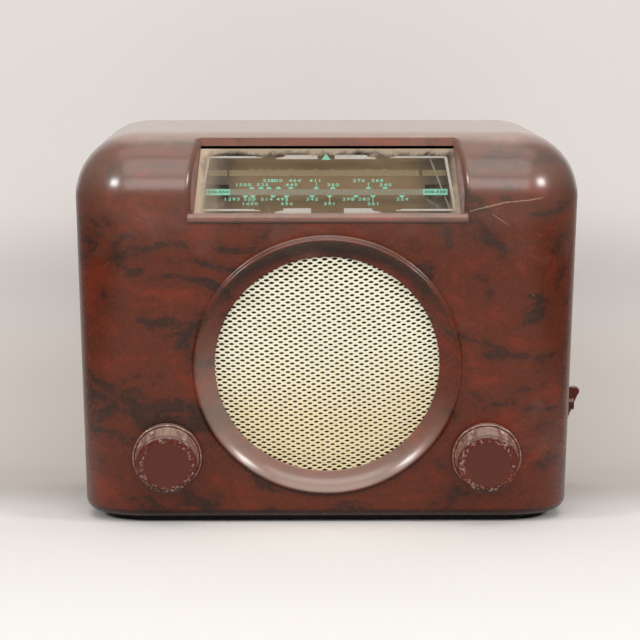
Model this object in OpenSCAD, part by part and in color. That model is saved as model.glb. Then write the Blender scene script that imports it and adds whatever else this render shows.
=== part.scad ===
// Table radio receiver of about 1950 in a moulded phenolic cabinet, in millimetres.
// +Z is up and the front looks along -Y. The origin lies on the table, under the
// middle of the cabinet's width and of its depth at the top.

/* [Cabinet] */
// Width across the cabinet at its widest
cabinet_w = 298; // [290:1:310]
// Height from the table to the top of the cabinet
cabinet_h = 235; // [229:1:241]
// Depth of the cabinet's top, from front to rear edge
cabinet_d = 210; // [204:1:216]
// How far the front leans, in degrees, with its top forward
front_lean = 11.3; // [10.3:0.1:12.3]
// How far each side draws in towards the foot, in degrees
side_draft = 1; // [0.6:0.1:1.4]
// Radius of the rounded front and top corners
corner_r = 38; // [36:1:40]
// Thickness of the moulded wall
wall = 4.5; // [4:0.1:5]
// Radius of the cabinet's bottom edge
foot_edge_r = 8; // [6:0.5:9]

/* [Plinth] */
// Height of the black base plate under the cabinet
plinth_h = 4; // [3.6:0.1:5]
// Distance from the cabinet's foot in to the edge of the base plate
plinth_inset = 14; // [12:1:16]

/* [Speaker opening] */
// How far the speaker's centre lies above the middle of the front, under the sill
speaker_lift = 0.35; // [-0.5:0.05:1]
// Radius of the opening over the speaker grille
aperture_r = 66.6; // [65:0.1:68]
// Outer radius of the raised ring moulded round the opening
ring_r = 81.4; // [80.6:0.2:83]
// How far the ring stands out of the front
ring_proud = 3.4; // [3:0.1:4.2]
// Rise of the domed grille from its edge to its middle
grille_rise = 5; // [4:0.5:6]
// Thickness of the grille's metal
grille_t = 0.8; // [0.6:0.1:1]

/* [Dial] */
// Distance from the cabinet's top down to the sill under the dial glass
sill_below_top = 46.5; // [45.5:0.5:47.5]
// Half the width of the dial opening at the glass, measured at its top
dial_half_w = 74.5; // [72:0.5:77]
// Lean of the dial glass, in degrees, with its top to the rear
glass_lean = 20; // [19:0.5:21]
// Height of the dial glass along its slope
glass_h = 43; // [42:0.5:43.5]
// Thickness of the dial glass
glass_t = 3; // [2.5:0.1:3.5]
// Rake of the pointer's needle, in degrees
needle_rake = 20; // [0:1:24]

/* [Controls] */
// Distance of each front knob's axis from the cabinet's side at its widest
knob_from_side = 53.8; // [52:0.2:56]
// Height of the front knobs where their spindles cross the front
knob_z = 42; // [41:0.5:43]
// Radius of a front knob's flange
knob_flange_r = 21.2; // [19:0.1:21.5]
// Height of a front knob's face above the front
knob_h = 17.5; // [15:0.5:19]
// Number of flutes round a front knob
knob_flutes = 12; // [10:1:16]
// Radius of the control spindles
spindle_r = 3.175; // [3:0.025:3.2]
// Distance of the waveband spindle behind the cabinet's front edge
waveband_from_front = 133; // [131:1:135]
// Height of the waveband spindle
waveband_z = 61; // [60:0.5:63]

/* [Tuning drive] */
// Radius of the cord where it lies on the drum
drum_cord_r = 37.5; // [36:0.5:38]
// Radius of the cord where it lies on the tuning spindle
spindle_cord_r = 4; // [4:0.1:4.4]
// Radius of the cord where it lies on a pulley
pulley_cord_r = 5.5; // [5:0.5:6]
// Width of the cord
cord_w = 1; // [0.8:0.1:1.2]

/* [Chassis] */
// Height of the chassis deck
deck_z = 52; // [51:0.5:53]
// Distance from the chassis to the cabinet's side at its widest
chassis_side_gap = 23; // [21:1:25]
// Distance from the chassis to the cabinet's rear edge
chassis_rear_gap = 17; // [16:1:19]
// Thickness of the chassis sheet
sheet_t = 1.2; // [1:0.1:1.4]
// Height of a valve above its holder
valve_h = 62; // [56:1:66]
// Radius of a valve's glass
valve_r = 11; // [10:0.5:11.5]

/* [Rear cover] */
// Thickness of the fibreboard rear cover
cover_t = 3; // [2.5:0.1:3.5]
// How far the cover lies inside the cabinet's rear edge
cover_inset = 1.5; // [1:0.1:2]
// Bore radius of the aerial and earth sockets
socket_r = 1.65; // [1.6:0.05:2]

/* [Hidden] */
$fn = 48;
eps = 0.01;

half_w = cabinet_w / 2;
front_y = -cabinet_d / 2;
rear_y = cabinet_d / 2;

// Centre of the top corner's arc, seen from the side, and where the flat front starts
corner_y = front_y + corner_r;
corner_z = cabinet_h - corner_r;
tangent_y = corner_y - corner_r * cos(front_lean);
tangent_z = corner_z - corner_r * sin(front_lean);
foot_z = plinth_h;
floor_z = foot_z + wall;
sill_z = cabinet_h - sill_below_top;
speaker_z = (foot_z + sill_z) / 2 + speaker_lift;
knob_x = half_w - knob_from_side;
waveband_y = front_y + waveband_from_front;
chassis_half_w = half_w - chassis_side_gap;
chassis_rear_y = rear_y - chassis_rear_gap;

// Place of the flat front, and half the cabinet's width, at a height
function face_y(z) = tangent_y + (tangent_z - z) * tan(front_lean);
function side_x(z) = half_w - (corner_z - z) * tan(side_draft);

// Puts children on the leaning front: local +Z points out of it and local +Y up it
module at_front(x, z) {
    translate([x, face_y(z), z])
        rotate([90 + front_lean, 0, 0])
            children();
}

// Puts children on the dial glass: local +Z points out of it and local +Y up it
glass_y = face_y(sill_z - 3.5) + wall / cos(front_lean) + 0.9;
glass_z = sill_z - 3.5;
module at_glass() {
    translate([0, glass_y, glass_z])
        rotate([90 - glass_lean, 0, 0])
            children();
}

// A tube along local Z, from z = 0 upward
module tube(outer, inner, h) {
    difference() {
        cylinder(r = outer, h = h);
        translate([0, 0, -1])
            cylinder(r = inner, h = h + 2);
    }
}

// A round bar along the world's Y axis, from y0 to y1
module bar_y(x, y0, y1, z, r) {
    translate([x, y1, z])
        rotate([90, 0, 0])
            cylinder(r = r, h = y1 - y0);
}

// A flat plate in the world's XZ plane, between y0 and y1, drawn as x and z
module plate_y(y0, y1) {
    translate([0, y1, 0])
        rotate([90, 0, 0])
            linear_extrude(y1 - y0)
                children();
}

// A side plate in the world's YZ plane, between x0 and x1, drawn as y and z
module plate_x(x0, x1) {
    translate([x0, 0, 0])
        rotate([90, 0, 90])
            linear_extrude(x1 - x0)
                children();
}

// A slot with round ends, centred, drawn flat
module slot(length, width) {
    square([length - width, width], center = true);
    for (side = [-1, 1])
        translate([side * (length - width) / 2, 0])
            circle(d = width);
}

// Cabinet
vent_x = [-88, -66, -44, -22, 22, 44, 66, 88];
vent_y = [front_y + 113, rear_y - 43];
vent_len = 30;
vent_w = 3.5;
screw_x = chassis_half_w - 12;
screw_y = [front_y + 83, rear_y - 33];
screw_r = 2;
screw_gap = 0.3;
pillar_r = 8;
pillar_top = 14;
cover_boss_z = [foot_z + 28, cabinet_h - 47];
cover_boss_r = 6.5;
cover_boss_len = 20;
cover_pilot_depth = 14;
cover_pilot_r = 1.6;
cover_front_y = rear_y - cover_inset - cover_t;
lip_y = front_y + 23;
cheek_flare = 0.29;
cheek_t = 7;
spindle_hole_r = 6.5;
waveband_hole_r = 5;
ring_crest_r = 1.8;
ring_base = 3;
speaker_pcd_r = 77;
speaker_pilot_r = 1.55;
speaker_pilot_depth = 4;

function cover_boss_x(z) = side_x(z) - wall - cover_boss_r + 1.5;
function dial_half(y) = dial_half_w + (lip_y - 2 - y) * cheek_flare;

// The closed outer form of the cabinet, shrunk by inset and run back to rear
module cabinet_form(inset, rear) {
    r = corner_r - inset;
    foot_r = corner_r - inset;
    edge = max(foot_edge_r - inset, 0.5);
    low = foot_z + inset;
    hull() {
        for (side = [-1, 1]) {
            translate([side * (half_w - corner_r), corner_y, corner_z])
                sphere(r = r);
            bar_y(side * (half_w - corner_r), rear - 1, rear, corner_z, r);
            for (a = [0 : 30 : 90])
                translate([side * (side_x(foot_z) - corner_r),
                           face_y(low + edge) + corner_r - inset + inset / cos(front_lean),
                           low + edge * (1 - sin(a))])
                    cylinder(r = foot_r - edge * (1 - cos(a)), h = 0.01);
            bar_y(side * (side_x(foot_z) - inset - edge), rear - 1, rear, low + edge, edge);
        }
    }
}

ring_crest = [ring_r - ring_crest_r - 0.4, ring_proud - ring_crest_r];
cove_low = [aperture_r, -3.2];
cove_top = [ring_crest[0] - ring_crest_r * cos(50), ring_crest[1] + ring_crest_r * sin(50)];

// Section of the ring round the speaker opening, drawn as radius and height
module ring_section() {
    polygon(concat(
        [[aperture_r - 1, -ring_base - 1], [aperture_r - 1, cove_top[1]], cove_top],
        [for (a = [110 : -20 : 10])
            [ring_crest[0] + ring_crest_r * cos(a), ring_crest[1] + ring_crest_r * sin(a)]],
        [[ring_r, 0.4], [ring_r + 0.3, -ring_base - 1]]));
}

// Section of the speaker opening with the cove that runs out from it to the ring's crest
module cove_section() {
    slope = 6;
    polygon(concat(
        [[0, -wall - 5], [aperture_r, -wall - 5], cove_low],
        [for (i = [1 : slope])
            let (t = i / slope)
                [cove_low[0] + (cove_top[0] - cove_low[0]) * t,
                 cove_low[1] + (cove_top[1] - cove_low[1]) * (0.75 * t + 0.25 * t * t)]],
        [[cove_top[0], 15], [0, 15]]));
}

// The side returns that the dial glass bears on, from the wall back to the glass
module dial_cheeks() {
    reach = corner_r - 2;
    for (side = [-1, 1])
        plate_x(side > 0 ? dial_half(lip_y) - 3 : -dial_half(front_y) - cheek_t,
                side > 0 ? dial_half(front_y) + cheek_t : -dial_half(lip_y) + 3)
            polygon(concat(
                [[face_y(glass_z) + wall / 2, glass_z]],
                [for (a = [-102 : 6 : -24])
                    [corner_y + reach * sin(a), corner_z + reach * cos(a)]],
                [[glass_y + (glass_h + 1.2) * sin(glass_lean) - 0.3,
                  glass_z + (glass_h + 1.2) * cos(glass_lean)],
                 [glass_y - 0.3, glass_z]]));
}

// What is cut away in front of the dial glass: it narrows towards the glass
module dial_opening() {
    translate([0, 0, sill_z])
        linear_extrude(cabinet_h)
            polygon([[-dial_half(front_y - 20), front_y - 20],
                     [dial_half(front_y - 20), front_y - 20],
                     [dial_half(lip_y), lip_y],
                     [-dial_half(lip_y), lip_y]]);
}

// Slots that let air in through the floor and the base plate
module floor_vents(z0, z1) {
    for (x = vent_x)
        for (y = vent_y)
            translate([x, y, z0])
                linear_extrude(z1 - z0)
                    rotate(90)
                        slot(vent_len, vent_w);
}

module chassis_screw_places() {
    for (x = [-screw_x, screw_x])
        for (y = screw_y)
            translate([x, y, 0])
                children();
}

module speaker_screw_places() {
    at_front(0, speaker_z)
        for (a = [45 : 90 : 315])
            rotate(a)
                translate([speaker_pcd_r, 0, 0])
                    children();
}

module cabinet() {
    sill_r = 3;
    sill_drop = 2.6;
    color("#6a2a1e")
        difference() {
            union() {
                difference() {
                    cabinet_form(0, rear_y);
                    cabinet_form(wall, rear_y + 2);
                }
                at_front(0, speaker_z)
                    rotate_extrude($fn = 96)
                        ring_section();
                dial_cheeks();
                translate([-dial_half(front_y) - 1, face_y(sill_z) + 1.2, sill_z - sill_drop])
                    rotate([0, 90, 0])
                        cylinder(r = sill_r, h = 2 * dial_half(front_y) + 2);
                chassis_screw_places()
                    translate([0, 0, foot_z + 1])
                        cylinder(r = pillar_r, h = pillar_top - foot_z - 1.1);
                for (side = [-1, 1])
                    for (z = cover_boss_z)
                        bar_y(side * cover_boss_x(z), cover_front_y - 0.2 - cover_boss_len,
                              cover_front_y - 0.2, z, cover_boss_r);
            }
            at_front(0, speaker_z)
                rotate_extrude($fn = 96)
                    cove_section();
            dial_opening();
            floor_vents(foot_z - 1, floor_z + 1);
            chassis_screw_places()
                translate([0, 0, foot_z - 1])
                    cylinder(r = screw_r + screw_gap, h = pillar_top);
            for (side = [-1, 1]) {
                at_front(side * knob_x, knob_z)
                    translate([0, 0, -wall - 5])
                        cylinder(r = spindle_hole_r, h = wall + 10);
                for (z = cover_boss_z)
                    bar_y(side * cover_boss_x(z), cover_front_y - cover_pilot_depth, cover_front_y + 1, z,
                          cover_pilot_r);
            }
            speaker_screw_places()
                translate([0, 0, -wall - 1])
                    cylinder(r = speaker_pilot_r, h = speaker_pilot_depth + 1);
            translate([half_w - 20, waveband_y, waveband_z])
                rotate([0, 90, 0])
                    cylinder(r = waveband_hole_r, h = 30);
        }
}

// Base plate
base_front_y = face_y(foot_z) + plinth_inset;
base_rear_y = rear_y - plinth_inset / 2;
base_half_w = side_x(foot_z) - plinth_inset;
base_corner_r = 28;
base_rear_r = 8;
screw_head_r = 4.2;
screw_head_h = 2;
screw_sink = 0.4;

module base_plate() {
    color("#141211")
        difference() {
            linear_extrude(plinth_h - 0.1)
                hull()
                    for (side = [-1, 1]) {
                        translate([side * (base_half_w - base_corner_r), base_front_y + base_corner_r])
                            circle(r = base_corner_r);
                        translate([side * (base_half_w - base_rear_r), base_rear_y - base_rear_r])
                            circle(r = base_rear_r);
                    }
            floor_vents(-1, plinth_h + 1);
            chassis_screw_places() {
                translate([0, 0, -1])
                    cylinder(r = screw_r + screw_gap, h = plinth_h + 2);
                translate([0, 0, -1])
                    cylinder(r = screw_head_r + 0.3, h = 1 + screw_sink + screw_head_h + 0.1);
            }
        }
}

nut_r = 4;
nut_h = 3;
foot_plate_z = pillar_top;

module chassis_screws() {
    color("#8d8f92")
        chassis_screw_places()
            difference() {
                union() {
                    translate([0, 0, screw_sink])
                        cylinder(r = screw_head_r, h = screw_head_h);
                    translate([0, 0, screw_sink + screw_head_h - eps])
                        cylinder(r = screw_r, h = foot_plate_z + sheet_t + nut_h - screw_sink);
                    translate([0, 0, foot_plate_z + sheet_t + 0.1])
                        cylinder(r = nut_r, h = nut_h, $fn = 6);
                }
                translate([-screw_head_r, -0.6, screw_sink - 1])
                    cube([2 * screw_head_r, 1.2, 1.8]);
            }
}

// Rear cover
cover_gap = 0.5;
cover_corner_r = max(foot_edge_r - wall, 1) + 0.5;
cover_vent_rows = [foot_z + 68, foot_z + 108, foot_z + 148];
cover_vents = 12;
cover_vent_pitch = 18;
cover_vent_len = 28;
cover_vent_w = 3.5;
socket_x = [62, 78];
socket_z = foot_z + 27;
window_w = 34;
window_h = 13;
grommet_x = -84;
grommet_z = socket_z;
grommet_hole_r = 6;
grommet_bore_r = 3.5;
grommet_lip = 1.8;

module rear_cover() {
    color("#5b4130")
        difference() {
            plate_y(cover_front_y, cover_front_y + cover_t)
                difference() {
                    hull()
                        for (side = [-1, 1]) {
                            translate([side * (half_w - corner_r), corner_z])
                                circle(r = corner_r - wall - cover_gap);
                            translate([side * (side_x(foot_z) - wall - cover_gap - cover_corner_r),
                                       floor_z + cover_gap + cover_corner_r])
                                circle(r = cover_corner_r);
                        }
                    for (z = cover_vent_rows)
                        for (i = [0 : cover_vents - 1])
                            translate([(i - (cover_vents - 1) / 2) * cover_vent_pitch, z])
                                rotate(90)
                                    slot(cover_vent_len, cover_vent_w);
                    translate([(socket_x[0] + socket_x[1]) / 2, socket_z])
                        square([window_w, window_h], center = true);
                    translate([grommet_x, grommet_z])
                        circle(r = grommet_hole_r + 0.1);
                }
            for (side = [-1, 1])
                for (z = cover_boss_z)
                    bar_y(side * cover_boss_x(z), cover_front_y - 1, rear_y, z, cover_pilot_r + 0.4);
        }
}

module rear_cover_screws() {
    head_r = 3.6;
    head_h = 1.4;
    shank = 12;
    color("#b59a5b")
        for (side = [-1, 1])
            for (z = cover_boss_z)
                difference() {
                    union() {
                        bar_y(side * cover_boss_x(z), cover_front_y + cover_t - shank,
                              cover_front_y + cover_t + eps, z, cover_pilot_r - 0.1);
                        bar_y(side * cover_boss_x(z), cover_front_y + cover_t + 0.05,
                              cover_front_y + cover_t + head_h, z, head_r);
                        bar_y(side * cover_boss_x(z), cover_front_y + cover_t,
                              cover_front_y + cover_t + 0.1, z, cover_pilot_r - 0.1);
                    }
                    translate([side * cover_boss_x(z) - head_r, cover_front_y + cover_t + 0.7,
                               z - 0.5])
                        cube([2 * head_r, 2, 1]);
                }
}

module mains_grommet() {
    color("#26211e")
        translate([grommet_x, cover_front_y - grommet_lip - 0.1, grommet_z])
            rotate([-90, 0, 0])
                rotate_extrude()
                    polygon([[grommet_bore_r, 0],
                             [grommet_hole_r + 2, 0],
                             [grommet_hole_r + 2, grommet_lip],
                             [grommet_hole_r, grommet_lip],
                             [grommet_hole_r, grommet_lip + cover_t + 0.2],
                             [grommet_hole_r + 2, grommet_lip + cover_t + 0.2],
                             [grommet_hole_r + 2, 2 * grommet_lip + cover_t - 0.4],
                             [grommet_hole_r + 1, 2 * grommet_lip + cover_t + 0.2],
                             [grommet_bore_r, 2 * grommet_lip + cover_t + 0.2]]);
}

// Dial
glass_half_w = dial_half(front_y) + 1.5;
backplate_gap = 14;
backplate_low = 1;
backplate_high = 43.5;
backplate_half_w = 86;
backplate_z = -glass_t - backplate_gap;
shelf_z = glass_z + backplate_low * cos(glass_lean) + backplate_z * sin(glass_lean);
frame_y = front_y + 65.8;
frame_top = cabinet_h - 16;
frame_half_w = half_w - 31;
frame_leg_w = 22;
frame_t = 1.2;
lamp_x = 66;
lamp_y = frame_y - 19.8;
lamp_window = [16, 9];
lamp_window_y = 21.5;
cushion_t = 1.4;

module dial_glass() {
    color([0.75, 0.85, 0.8, 0.4])
        at_glass()
            translate([-glass_half_w, 0, -glass_t])
                cube([2 * glass_half_w, glass_h, glass_t]);
}

module glass_cushion() {
    lap = 2.2;
    color("#2a2624")
        at_glass()
            translate([-glass_half_w, -cushion_t - 0.1, -glass_t - cushion_t - 0.1])
                difference() {
                    cube([2 * glass_half_w, cushion_t + lap, glass_t + cushion_t]);
                    translate([-1, cushion_t, cushion_t])
                        cube([2 * glass_half_w + 2, lap + 1, glass_t + 1]);
                }
}

module glass_clips() {
    clip_w = 5;
    grip = 8;
    spring_t = 0.8;
    color("#a8a295")
        at_glass()
            for (side = [-1, 1])
                translate([side * (glass_half_w - clip_w / 2) - clip_w / 2, glass_h - grip, 0])
                    difference() {
                        translate([0, 0, -glass_t - spring_t - 0.1])
                            cube([clip_w, grip + spring_t + 0.1, glass_t + spring_t + 0.1]);
                        translate([-1, -1, -glass_t - 0.1])
                            cube([clip_w + 2, grip + 1.1, glass_t + 1]);
                    }
}

module dial_backplate() {
    shelf_front_y = glass_y + backplate_low * sin(glass_lean) - backplate_z * cos(glass_lean);
    color("#4a3a26")
        union() {
            at_glass()
                translate([0, 0, backplate_z - sheet_t])
                    linear_extrude(sheet_t)
                        difference() {
                            translate([-backplate_half_w, backplate_low])
                                square([2 * backplate_half_w, backplate_high - backplate_low]);
                            for (side = [-1, 1])
                                translate([side * lamp_x, lamp_window_y])
                                    square(lamp_window, center = true);
                        }
            difference() {
                translate([-backplate_half_w, shelf_front_y, shelf_z - 0.4])
                    cube([2 * backplate_half_w, frame_y - shelf_front_y - 0.2, sheet_t]);
                translate([drum_x - drum_cord_r - 2.5, pointer_cord_y - 2.5, shelf_z - 2])
                    cube([5, 5, 5]);
            }
            translate([-backplate_half_w, frame_y - 0.2 - sheet_t, shelf_z - 0.4])
                cube([2 * backplate_half_w, sheet_t, 8]);
        }
}

// Tuning drive: places of the wheels, seen from the front
drum_x = half_w - 49;
drum_z = deck_z + 46;
drive_cord_y = frame_y - 10.8;
pointer_cord_y = frame_y - 6.8;
run_high_z = frame_top - 11;
run_low_z = run_high_z - 10;
left_pulley = [-84, (run_low_z + run_high_z) / 2];
left_cord_r = (run_high_z - run_low_z) / 2;
upper_pulley = [drum_x + drum_cord_r - pulley_cord_r, run_high_z - pulley_cord_r];
lower_pulley = [drum_x - drum_cord_r - pulley_cord_r, run_low_z - pulley_cord_r];
pin_r = 1.5;
pin_gap = 0.06;
rail_y = frame_y - 14.8;
rail_z = frame_top - 5;
rail_r = 1.5;
lug_x = 89;

// Where the tuning spindle crosses the plane of the drive cord
spindle_depth = (drive_cord_y - face_y(knob_z)) / cos(front_lean);
spindle_cord_z = knob_z + spindle_depth * sin(front_lean);

module dial_frame() {
    leg_low = 20;
    color("#8f8a78")
        union() {
            plate_y(frame_y, frame_y + frame_t)
                difference() {
                    union() {
                        translate([-frame_half_w, shelf_z - 2])
                            square([frame_half_w + drum_x + drum_cord_r, frame_top - 7 - shelf_z + 2]);
                        translate([-frame_half_w, frame_top - 19])
                            square([frame_half_w + drum_x + drum_cord_r - 6, 19]);
                        translate([-frame_half_w, leg_low])
                            square([frame_leg_w, shelf_z + 10 - leg_low]);
                        translate([drum_x - 16, leg_low])
                            square([36, shelf_z + 10 - leg_low]);
                    }
                    translate([drum_x, drum_z])
                        circle(r = 6);
                    for (x = frame_screw_x)
                        translate([x, frame_screw_z])
                            circle(r = 2);
                }
            for (side = [-1, 1])
                difference() {
                    translate([side * lug_x - 0.6, rail_y - 4, rail_z - 3.5])
                        cube([1.2, frame_y - rail_y + 4 + eps, 8]);
                    translate([side * lug_x - 2, rail_y, rail_z])
                        rotate([0, 90, 0])
                            cylinder(r = rail_r, h = 4);
                }
            for (p = [left_pulley, upper_pulley, lower_pulley])
                bar_y(p[0], pointer_cord_y - 3.5, frame_y + eps, p[1], pin_r);
        }
}

module pointer_rail() {
    color("#b9bcc0")
        translate([-lug_x - 1.5, rail_y, rail_z])
            rotate([0, 90, 0])
                cylinder(r = rail_r - eps, h = 2 * lug_x + 3);
}

// The pointer rests near the right end of its travel
pointer_x = 60;
needle_z = -glass_t - 4;

module dial_pointer() {
    arm_t = 1;
    needle_top = backplate_high - 2.5;
    needle_low = 7;
    needle_w = 1;
    arm_z = glass_z + needle_top * cos(glass_lean) + needle_z * sin(glass_lean);
    front_end = glass_y + needle_top * sin(glass_lean) - needle_z * cos(glass_lean);
    clip_z = run_high_z + cord_w / 2 + 0.3;
    color("#e8e4da")
        union() {
            difference() {
                translate([pointer_x - 4, rail_y - 3, rail_z - 3])
                    cube([8, 6, 6]);
                translate([pointer_x - 5, rail_y, rail_z])
                    rotate([0, 90, 0])
                        cylinder(r = rail_r + pin_gap, h = 10);
            }
            translate([pointer_x - 2, rail_y + 2.5, clip_z])
                cube([4, pointer_cord_y + 2 - rail_y - 2.5, arm_t]);
            translate([pointer_x - 2, rail_y + 2.5, clip_z])
                cube([4, arm_t, rail_z - clip_z - 1.5]);
            translate([pointer_x - 1, front_end - 0.5, arm_z - arm_t / 2])
                cube([2, rail_y - 2.9 - front_end + 0.5, arm_t]);
            translate([pointer_x - 1, rail_y - 3, rail_z + 2])
                cube([2, arm_t, arm_z + arm_t / 2 - rail_z - 2]);
            at_glass()
                translate([pointer_x, needle_top, needle_z - 0.4])
                    rotate(needle_rake)
                        translate([-needle_w / 2, -(needle_top - needle_low) / cos(needle_rake), 0])
                            cube([needle_w, (needle_top - needle_low) / cos(needle_rake) + 0.4, 0.8]);
        }
}

// A grooved wheel along local Z, for cord lying at cord_r, with one groove per height
module grooved_wheel(cord_r, flange, heights, thickness, bore) {
    floor_r = cord_r - cord_w / 2 - 0.1;
    half = cord_w / 2 + 0.3;
    difference() {
        rotate_extrude()
            difference() {
                translate([bore, 0])
                    square([flange - bore, thickness]);
                for (h = heights)
                    translate([floor_r, h - half])
                        square([flange, 2 * half]);
            }
    }
}

module pulley(place, cord_r) {
    color("#3a2f28")
        translate([place[0], pointer_cord_y + 2, place[1]])
            rotate([90, 0, 0])
                grooved_wheel(cord_r, cord_r + 1.8, [2], 4, pin_r + pin_gap);
}

drum_y = frame_y - 4.3;
drum_t = 9;

module drive_drum() {
    web = 2;
    hub_r = 8;
    color("#9c8f6a")
        translate([drum_x, drum_y, drum_z])
            rotate([90, 0, 0])
                difference() {
                    grooved_wheel(drum_cord_r, drum_cord_r + 1.6,
                                  [drum_y - pointer_cord_y, drum_y - drive_cord_y], drum_t,
                                  spindle_r + 0.03);
                    translate([0, 0, web])
                        difference() {
                            cylinder(r = drum_cord_r - 4, h = drum_t);
                            translate([0, 0, -1])
                                cylinder(r = hub_r, h = drum_t + 2);
                        }
                    for (a = [30 : 60 : 330])
                        rotate(a)
                            translate([20, 0, -1])
                                cylinder(r = 6, h = web + 2);
                }
}

// The loop of cord from the tuning spindle to the drum
module drive_cord() {
    color("#d8c9a0")
        plate_y(drive_cord_y - cord_w / 2, drive_cord_y + cord_w / 2)
            difference() {
                hull() {
                    translate([drum_x, drum_z])
                        circle(r = drum_cord_r + cord_w / 2, $fn = 64);
                    translate([knob_x, spindle_cord_z])
                        circle(r = spindle_cord_r + cord_w / 2, $fn = 24);
                }
                hull() {
                    translate([drum_x, drum_z])
                        circle(r = drum_cord_r - cord_w / 2, $fn = 64);
                    translate([knob_x, spindle_cord_z])
                        circle(r = spindle_cord_r - cord_w / 2, $fn = 24);
                }
            }
}

// A part of a flat ring, kept where a corner box covers it
module ring_part(place, r, box_low, box_size) {
    intersection() {
        translate(place)
            difference() {
                circle(r = r + cord_w / 2);
                circle(r = r - cord_w / 2);
            }
        translate(box_low)
            square(box_size);
    }
}

// The loop of cord that carries the pointer: drum, lower right, left, upper right pulley
module pointer_cord() {
    h = cord_w / 2;
    big = 2 * drum_cord_r;
    color("#d8c9a0")
        plate_y(pointer_cord_y - h, pointer_cord_y + h) {
            ring_part([drum_x, drum_z], drum_cord_r, [drum_x - big, drum_z - big], [2 * big, big]);
            ring_part(lower_pulley, pulley_cord_r, lower_pulley, [big, big]);
            ring_part(upper_pulley, pulley_cord_r, upper_pulley, [big, big]);
            ring_part(left_pulley, left_cord_r, [left_pulley[0] - big, left_pulley[1] - big],
                      [big, 2 * big]);
            translate([drum_x - drum_cord_r - h, drum_z])
                square([cord_w, lower_pulley[1] - drum_z]);
            translate([drum_x + drum_cord_r - h, drum_z])
                square([cord_w, upper_pulley[1] - drum_z]);
            translate([left_pulley[0], run_low_z - h])
                square([lower_pulley[0] - left_pulley[0], cord_w]);
            translate([left_pulley[0], run_high_z - h])
                square([upper_pulley[0] - left_pulley[0], cord_w]);
        }
}

module dial_lamps() {
    color("#d9c38a")
        for (side = [-1, 1])
            translate([side * lamp_x, lamp_y, shelf_z + sheet_t - 0.3]) {
                cylinder(r = 6, h = 4);
                translate([0, 0, 4])
                    cylinder(r = 5, h = 7);
                translate([0, 0, 11])
                    cylinder(r = 4, h = 2);
                translate([0, 0, 18])
                    sphere(r = 5.4);
            }
}

// Knobs and spindles
knob_bore_depth = 13;
grub_r = 1.6;
grub_z = 8;
grub_len = 5;
knob_gap = 0.8;
bracket_front = 12;
bracket_half = 19;
bush_r = 4.8;
spindle_end = 33;

module knob() {
    flange_t = 2.6;
    body_r = knob_flange_r - 2.4;
    cap_r = body_r - 0.7;
    face_r = cap_r - 4.8;
    flute_r = 6;
    color("#4c1d18")
        difference() {
            rotate_extrude()
                polygon([[0, knob_gap],
                         [knob_flange_r - 0.8, knob_gap],
                         [knob_flange_r, knob_gap + 0.8],
                         [knob_flange_r, knob_gap + flange_t - 0.8],
                         [knob_flange_r - 0.8, knob_gap + flange_t],
                         [knob_flange_r - 1.6, knob_gap + flange_t - 0.6],
                         [body_r, knob_gap + flange_t - 0.6],
                         [cap_r, knob_h - 1.9],
                         [cap_r - 0.5, knob_h - 1.2],
                         [face_r + 0.4, knob_h],
                         [face_r, knob_h - 0.1],
                         [0, knob_h - 0.5]]);
            for (i = [0 : knob_flutes - 1])
                rotate(i * 360 / knob_flutes)
                    translate([body_r + flute_r - 1.1, 0, knob_gap + flange_t - 0.2])
                        rotate([0, -3, 0])
                            cylinder(r = flute_r, h = knob_h - flange_t - knob_gap - 3.2, $fn = 48);
            translate([0, 0, -1])
                cylinder(r = spindle_r + 0.03, h = knob_bore_depth + 1);
            translate([0, 0, grub_z])
                rotate([90, 0, 0])
                    cylinder(r = grub_r + 0.05, h = knob_flange_r);
        }
}

// The slotted screw that fixes a knob to its spindle, in the knob's own frame
module grub_screw() {
    color("#8d8f92")
        translate([0, -spindle_r - 0.1, grub_z])
            rotate([90, 0, 0])
                difference() {
                    cylinder(r = grub_r, h = grub_len);
                    translate([-grub_r - 1, -0.3, grub_len - 1])
                        cube([2 * grub_r + 2, 0.6, 2]);
                }
}

module tuning_knob() {
    at_front(knob_x, knob_z)
        knob();
}

module volume_knob() {
    at_front(-knob_x, knob_z)
        knob();
}

module tuning_knob_screw() {
    at_front(knob_x, knob_z)
        grub_screw();
}

module volume_knob_screw() {
    at_front(-knob_x, knob_z)
        grub_screw();
}

module tuning_spindle() {
    color("#b9bcc0")
        at_front(knob_x, knob_z)
            translate([0, 0, -spindle_end])
                cylinder(r = spindle_r, h = spindle_end + knob_bore_depth - 0.3);
}

module volume_spindle() {
    color("#b9bcc0")
        at_front(-knob_x, knob_z)
            translate([0, 0, -bracket_front - bracket_t - 12])
                cylinder(r = spindle_r, h = bracket_front + bracket_t + 12 + knob_bore_depth - 0.3);
}

// A sheet bracket that carries a front control, with an arm back to the chassis
module control_bracket(x, hole_r, arm_side) {
    foot_y = frame_y - 0.3;
    arm_x = x + arm_side * (bracket_half - bracket_t / 2);
    low = knob_z - 17;
    high = knob_z + 12;
    inset = (bracket_front + bracket_t / 2) / cos(front_lean);
    color("#8f8a78")
        difference() {
            union() {
                at_front(x, knob_z)
                    translate([-bracket_half, -bracket_half, -bracket_front - bracket_t])
                        cube([2 * bracket_half, 2 * bracket_half, bracket_t]);
                plate_x(arm_x - bracket_t / 2, arm_x + bracket_t / 2)
                    polygon([[face_y(low) + inset, low],
                             [face_y(high) + inset, high],
                             [foot_y, high - 4],
                             [foot_y, low]]);
                translate([arm_side > 0 ? arm_x - 12 : arm_x, foot_y - bracket_t, low])
                    cube([12, bracket_t, high - 4 - low]);
            }
            at_front(x, knob_z)
                translate([0, 0, -bracket_front - bracket_t - 1])
                    cylinder(r = hole_r, h = bracket_t + 2);
            for (screw = frame_screw_x)
                bar_y(screw, foot_y - bracket_t - 1, foot_y + 1, frame_screw_z, 2);
        }
}

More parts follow.
